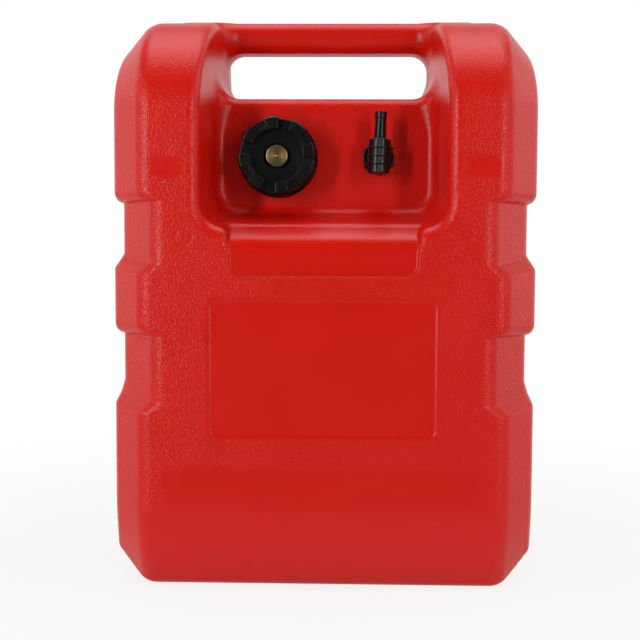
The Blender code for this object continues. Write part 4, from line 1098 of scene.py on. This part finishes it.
def elbowField(x, y, z):
    u, v, height = outletPlace(x, y, z, elbow["turn"])
    half, tip = elbow["half"], elbow["tip"]
    out = height - elbow["axis"]
    around = np.hypot(u, out)
    barrel = roundMax(around - elbow["barrel"], np.abs(v) - half, elbow["soft"])
    stemRadius = elbow["stem"] - elbow["taper"] * (v - half) / (tip - half)
    stem = roundMax(around - stemRadius, np.maximum(v - tip, -v), elbow["tipSoft"])
    bead = roundMax(around - elbow["bead"], np.maximum(v - tip, elbow["beadLow"] - v), elbow["beadSoft"])
    body = roundMin(barrel, roundMin(stem, bead, elbow["beadJoin"]), elbow["stemFillet"])
    socket = np.maximum(np.hypot(u, v) - elbow["socket"], np.maximum(elbow["low"] - height, out))
    body = roundMin(body, socket, elbow["socketJoin"])
    # The mould's parting line runs up the front, with the gate's stub at the foot
    ridge = elbow["partingHeight"] * np.exp(-(u / elbow["partingWidth"]) ** 2)
    body = body - ridge * smoothStep(-v, *elbow["partingSpan"])
    forward = out - elbow["barrel"] + elbow["gateSink"]
    stub = np.sqrt(u ** 2 + (v + half) ** 2 + forward ** 2) - elbow["gate"]
    body = np.maximum(roundMin(body, stub, elbow["gateJoin"]), elbow["low"] - height)
    bore = np.maximum(around - elbow["bore"], -v - elbow["boreFoot"])
    body = roundMax(body, -bore, elbow["boreSoft"])
    snapLow, snapRadius = elbow["snap"]
    centre = np.hypot(u, v)
    hollow = np.maximum(centre - elbow["spigotBore"], height - elbow["spigotEnd"])
    snap = np.maximum(centre - snapRadius, np.maximum(snapLow - height, height - elbow["spigotEnd"]))
    port = np.maximum(centre - elbow["port"], out)
    return np.maximum(body, -np.minimum(np.minimum(hollow, snap), port))


def buildOutlet():
    step, reach = elbow["step"] * coarser, sculpting["fineReach"]
    x, z, floor, wide = outlet["x"], outlet["z"], outlet["floor"], nipple["roomAcross"]
    low = (x - wide, floor - nipple["spigotHigh"] - nipple["room"], z - wide)
    high = (x + wide, floor - nipple["shankLow"] + nipple["room"], z + wide)
    base = sculpted("hexNipple", nippleField, fineLines(low, high, step), nipple["triangles"], reach)
    finish(base, "tank", "black_nylon", "outlet_base")
    wide = elbow["roomAcross"]
    low = (x - wide, floor - elbow["axis"] - elbow["roomFront"], z - elbow["half"] - elbow["roomBelow"])
    high = (x + wide, floor - elbow["low"] + elbow["roomBehind"], z + elbow["tip"] + elbow["roomTip"])
    bend = sculpted("hoseElbow", elbowField, fineLines(low, high, step), elbow["triangles"], reach)
    finish(bend, "elbow", "black_nylon", "outlet_elbow")
    sizes = ridgeSizes(elbow, elbow["barrel"], True, finishes["black_nylon"])
    sizes.update({"Count": elbow["ribs"], "Spacing": elbow["ribSpacing"], "Rounding": elbow["ribRound"]})
    # The rings stand on the barrel's axis, which is upright and crosses the outlet's axis
    matrix = outwards(outlet, math.radians(elbow["turn"])) @ raisedBy(elbow["axis"])
    matrix = matrix @ Matrix.Rotation(-math.pi / 2, 4, "X") @ raisedBy(-elbow["ribSpacing"])
    finish(grown("elbowRibs", ringTree, sizes, matrix), "elbow", "black_nylon")


buildOutlet()
print("outlet done")

# The CAD nodes that stay and the slot whose finish each gets
stayingNodes = {
    "nitrile_rubber": ("cap_gasket", "vent_seal", "vent_washer", "outlet_gasket", "swivel_oring"),
    "turned_brass": ("vent_bush",), "black_nylon": ("outlet_insert",),
    "white_nylon": ("pickup_tube", "strainer_frame"), "steel_mesh": ("strainer_mesh",),
}


def dressNodes():
    for slot, names in stayingNodes.items():
        for name in names:
            for place in bpy.data.objects[name].material_slots:
                place.material = finishes[slot]


dressNodes()

# Camera: angles in degrees, the picture's middle and focal length in pixels, places in millimetres
view = {"pitch": 3.36, "roll": 0.289, "yaw": -1.344, "middleX": 326.28, "middleY": 320.77,
        "distance": 796.265, "height": 268.039, "front": 115.0, "pixels": 640, "focal": 1000.0}


def addCamera():
    pitch, roll, yaw = (math.radians(view[key]) for key in ("pitch", "roll", "yaw"))
    forward = Vector((0, math.cos(pitch), -math.sin(pitch)))
    up = Vector((0, math.sin(pitch), math.cos(pitch)))
    right = Vector((1, 0, 0))
    levelRight = right * math.cos(roll) + up * math.sin(roll)
    levelUp = up * math.cos(roll) - right * math.sin(roll)
    turn = Matrix.Rotation(-yaw, 3, "Z")
    place = turn @ Vector((0, -(view["front"] + view["distance"]), view["height"])) * mm
    axes = Matrix((levelRight, levelUp, -forward)).transposed()
    camera = bpy.data.cameras.new("camera")
    camera.lens = camera.sensor_width * view["focal"] / view["pixels"]
    half = view["pixels"] / 2
    camera.shift_x = (half - view["middleX"]) / view["pixels"]
    camera.shift_y = (view["middleY"] - half) / view["pixels"]
    thing = placed("camera", camera)
    thing.matrix_world = Matrix.Translation(place) @ (turn @ axes).to_4x4()
    bpy.context.scene.camera = thing


# Studio: two narrow upright boxes at the front, a large panel at each side, one broad box above, a
# white sweep behind
studio = {
    "room": 0.09, "mirrored": 0.02, "paperFront": (-0.42, -0.14), "floorReach": 3.2, "wallHeight": 3.0,
    "wallTurn": 12, "wallSteps": 64, "shadowNear": 0.3, "shadowFar": 0.75, "shadowShare": 0.16,
    "paper": {"Base Color": (0.8, 0.8, 0.8, 1), "Roughness": 0.9, "Specular IOR Level": 0.1},
    "lampDistance": 2.3, "aim": (0, -0.05, 0.28),
    # For each lamp: angle from the front, height of its middle, width and height, watts, colour
    "uprights": {
        "lampLeft": (-38, 0.62, (0.2, 1.3), 25.0, (1, 0.99, 0.97)),
        "lampRight": (34, 0.62, (0.2, 1.3), 15.0, (1, 0.99, 0.97)),
        "panelLeft": (-88, 0.9, (2.6, 2.2), 14.0, (1, 0.98, 0.97)),
        "panelRight": (88, 0.9, (2.6, 2.2), 22.0, (1, 0.98, 0.97)),
    },
    "above": ((1.7, 1.2), (0, 0.05, 1.75), 19.5, (1, 0.97, 1.0)),
}


def addLamp(name, size, place, power, colour):
    lamp = bpy.data.lights.new(name, "AREA")
    lamp.shape = "RECTANGLE"
    lamp.size, lamp.size_y = size
    lamp.energy = power
    lamp.color = colour
    thing = placed(name, lamp)
    thing.location = place
    aim = Vector(studio["aim"]) - Vector(place)
    thing.rotation_euler = aim.to_track_quat("-Z", "Y").to_euler()


def addLamps():
    reach = studio["lampDistance"]
    for name, (angle, height, size, power, colour) in studio["uprights"].items():
        turn = math.radians(angle)
        addLamp(name, size, (reach * math.sin(turn), -reach * math.cos(turn), height), power, colour)
    size, place, power, colour = studio["above"]
    addLamp("lampAbove", size, place, power, colour)


def seenWhite(material, share):
    # White where it is looked at, mirrored or seen through; an ordinary pale surface for the light
    tree = material.node_tree
    ray = tree.nodes.new("ShaderNodeLightPath").outputs
    looked = worked(tree, "MAXIMUM", ray["Is Camera Ray"],
                    worked(tree, "MAXIMUM", ray["Is Glossy Ray"], ray["Is Transmission Ray"]))
    # The paper ends a little way in front of the object, and the dark studio out there is mirrored
    forward = addNode(tree, "ShaderNodeSeparateXYZ", {0: objectPlace(tree)}).outputs["Y"]
    beyond = remapped(tree, forward, *studio["paperFront"], 1 - studio["mirrored"], 0.0)
    level = worked(tree, "SUBTRACT", 1.0, worked(tree, "MULTIPLY", ray["Is Glossy Ray"], beyond))
    if share is not None:
        looked = worked(tree, "MULTIPLY", looked, share)
    glow = nodeOut(tree, "ShaderNodeEmission", {"Color": (1, 1, 1, 1), "Strength": level})
    shader = tree.nodes["Principled BSDF"]
    blend = nodeOut(tree, "ShaderNodeMixShader", {0: looked, 1: shader.outputs[0], 2: glow})
    tree.links.new(blend, tree.nodes["Material Output"].inputs["Surface"])


def addWorld():
    world = bpy.data.worlds.new("studio")
    bpy.context.scene.world = world
    world.use_nodes = True
    tree = world.node_tree
    tree.nodes.clear()
    room, dark, seen = (nodeOut(tree, "ShaderNodeBackground", {"Color": (1, 1, 1, 1), "Strength": level})
                        for level in (studio["room"], studio["mirrored"], 1.0))
    ray = tree.nodes.new("ShaderNodeLightPath").outputs
    looked = worked(tree, "MAXIMUM", ray["Is Camera Ray"], ray["Is Transmission Ray"])
    # The paper behind shows in reflections, and the room in front of it is dark, as in a studio
    blend = nodeOut(tree, "ShaderNodeMixShader", {0: ray["Is Glossy Ray"], 1: room, 2: dark})
    blend = nodeOut(tree, "ShaderNodeMixShader", {0: looked, 1: blend, 2: seen})
    out = tree.nodes.new("ShaderNodeOutputWorld")
    tree.links.new(blend, out.inputs["Surface"])


def addStage():
    bpy.context.scene.view_settings.view_transform = "Standard"
    # The floor turns fully white a little way out, so that only the object's shadow shows on it
    floorPaper, tree, _ = newMaterial("floorPaper", studio["paper"])
    fromMiddle = addNode(tree, "ShaderNodeVectorMath", {0: objectPlace(tree)}, operation="LENGTH")
    share = remapped(tree, fromMiddle.outputs["Value"], studio["shadowNear"], studio["shadowFar"],
                     1 - studio["shadowShare"], 1.0)
    seenWhite(floorPaper, share)
    wallPaper = newMaterial("wallPaper", studio["paper"])[0]
    seenWhite(wallPaper, None)
    reach, steps, spare = studio["floorReach"], studio["wallSteps"], studio["wallTurn"]

    def ring(start, sweep, count, height):
        turns = [math.radians(start + sweep * k / steps) for k in range(count)]
        return [(reach * math.cos(turn), reach * math.sin(turn), height) for turn in turns]

    back = [-spare, 180 + 2 * spare, steps + 1]
    sheets = {
        "floor": (ring(0, 360, steps, 0), [tuple(range(steps))], floorPaper),
        "backdrop": (ring(*back, 0) + ring(*back, studio["wallHeight"]),
                     [(k, steps + 1 + k, steps + 2 + k, k + 1) for k in range(steps)], wallPaper),
    }
    for name, (points, faces, paper) in sheets.items():
        mesh = bpy.data.meshes.new(name)
        mesh.from_pydata(points, [], faces)
        mesh.materials.append(paper)
        placed(mesh.name, mesh)


addWorld()
addStage()
addCamera()
addLamps()
print("stage done")
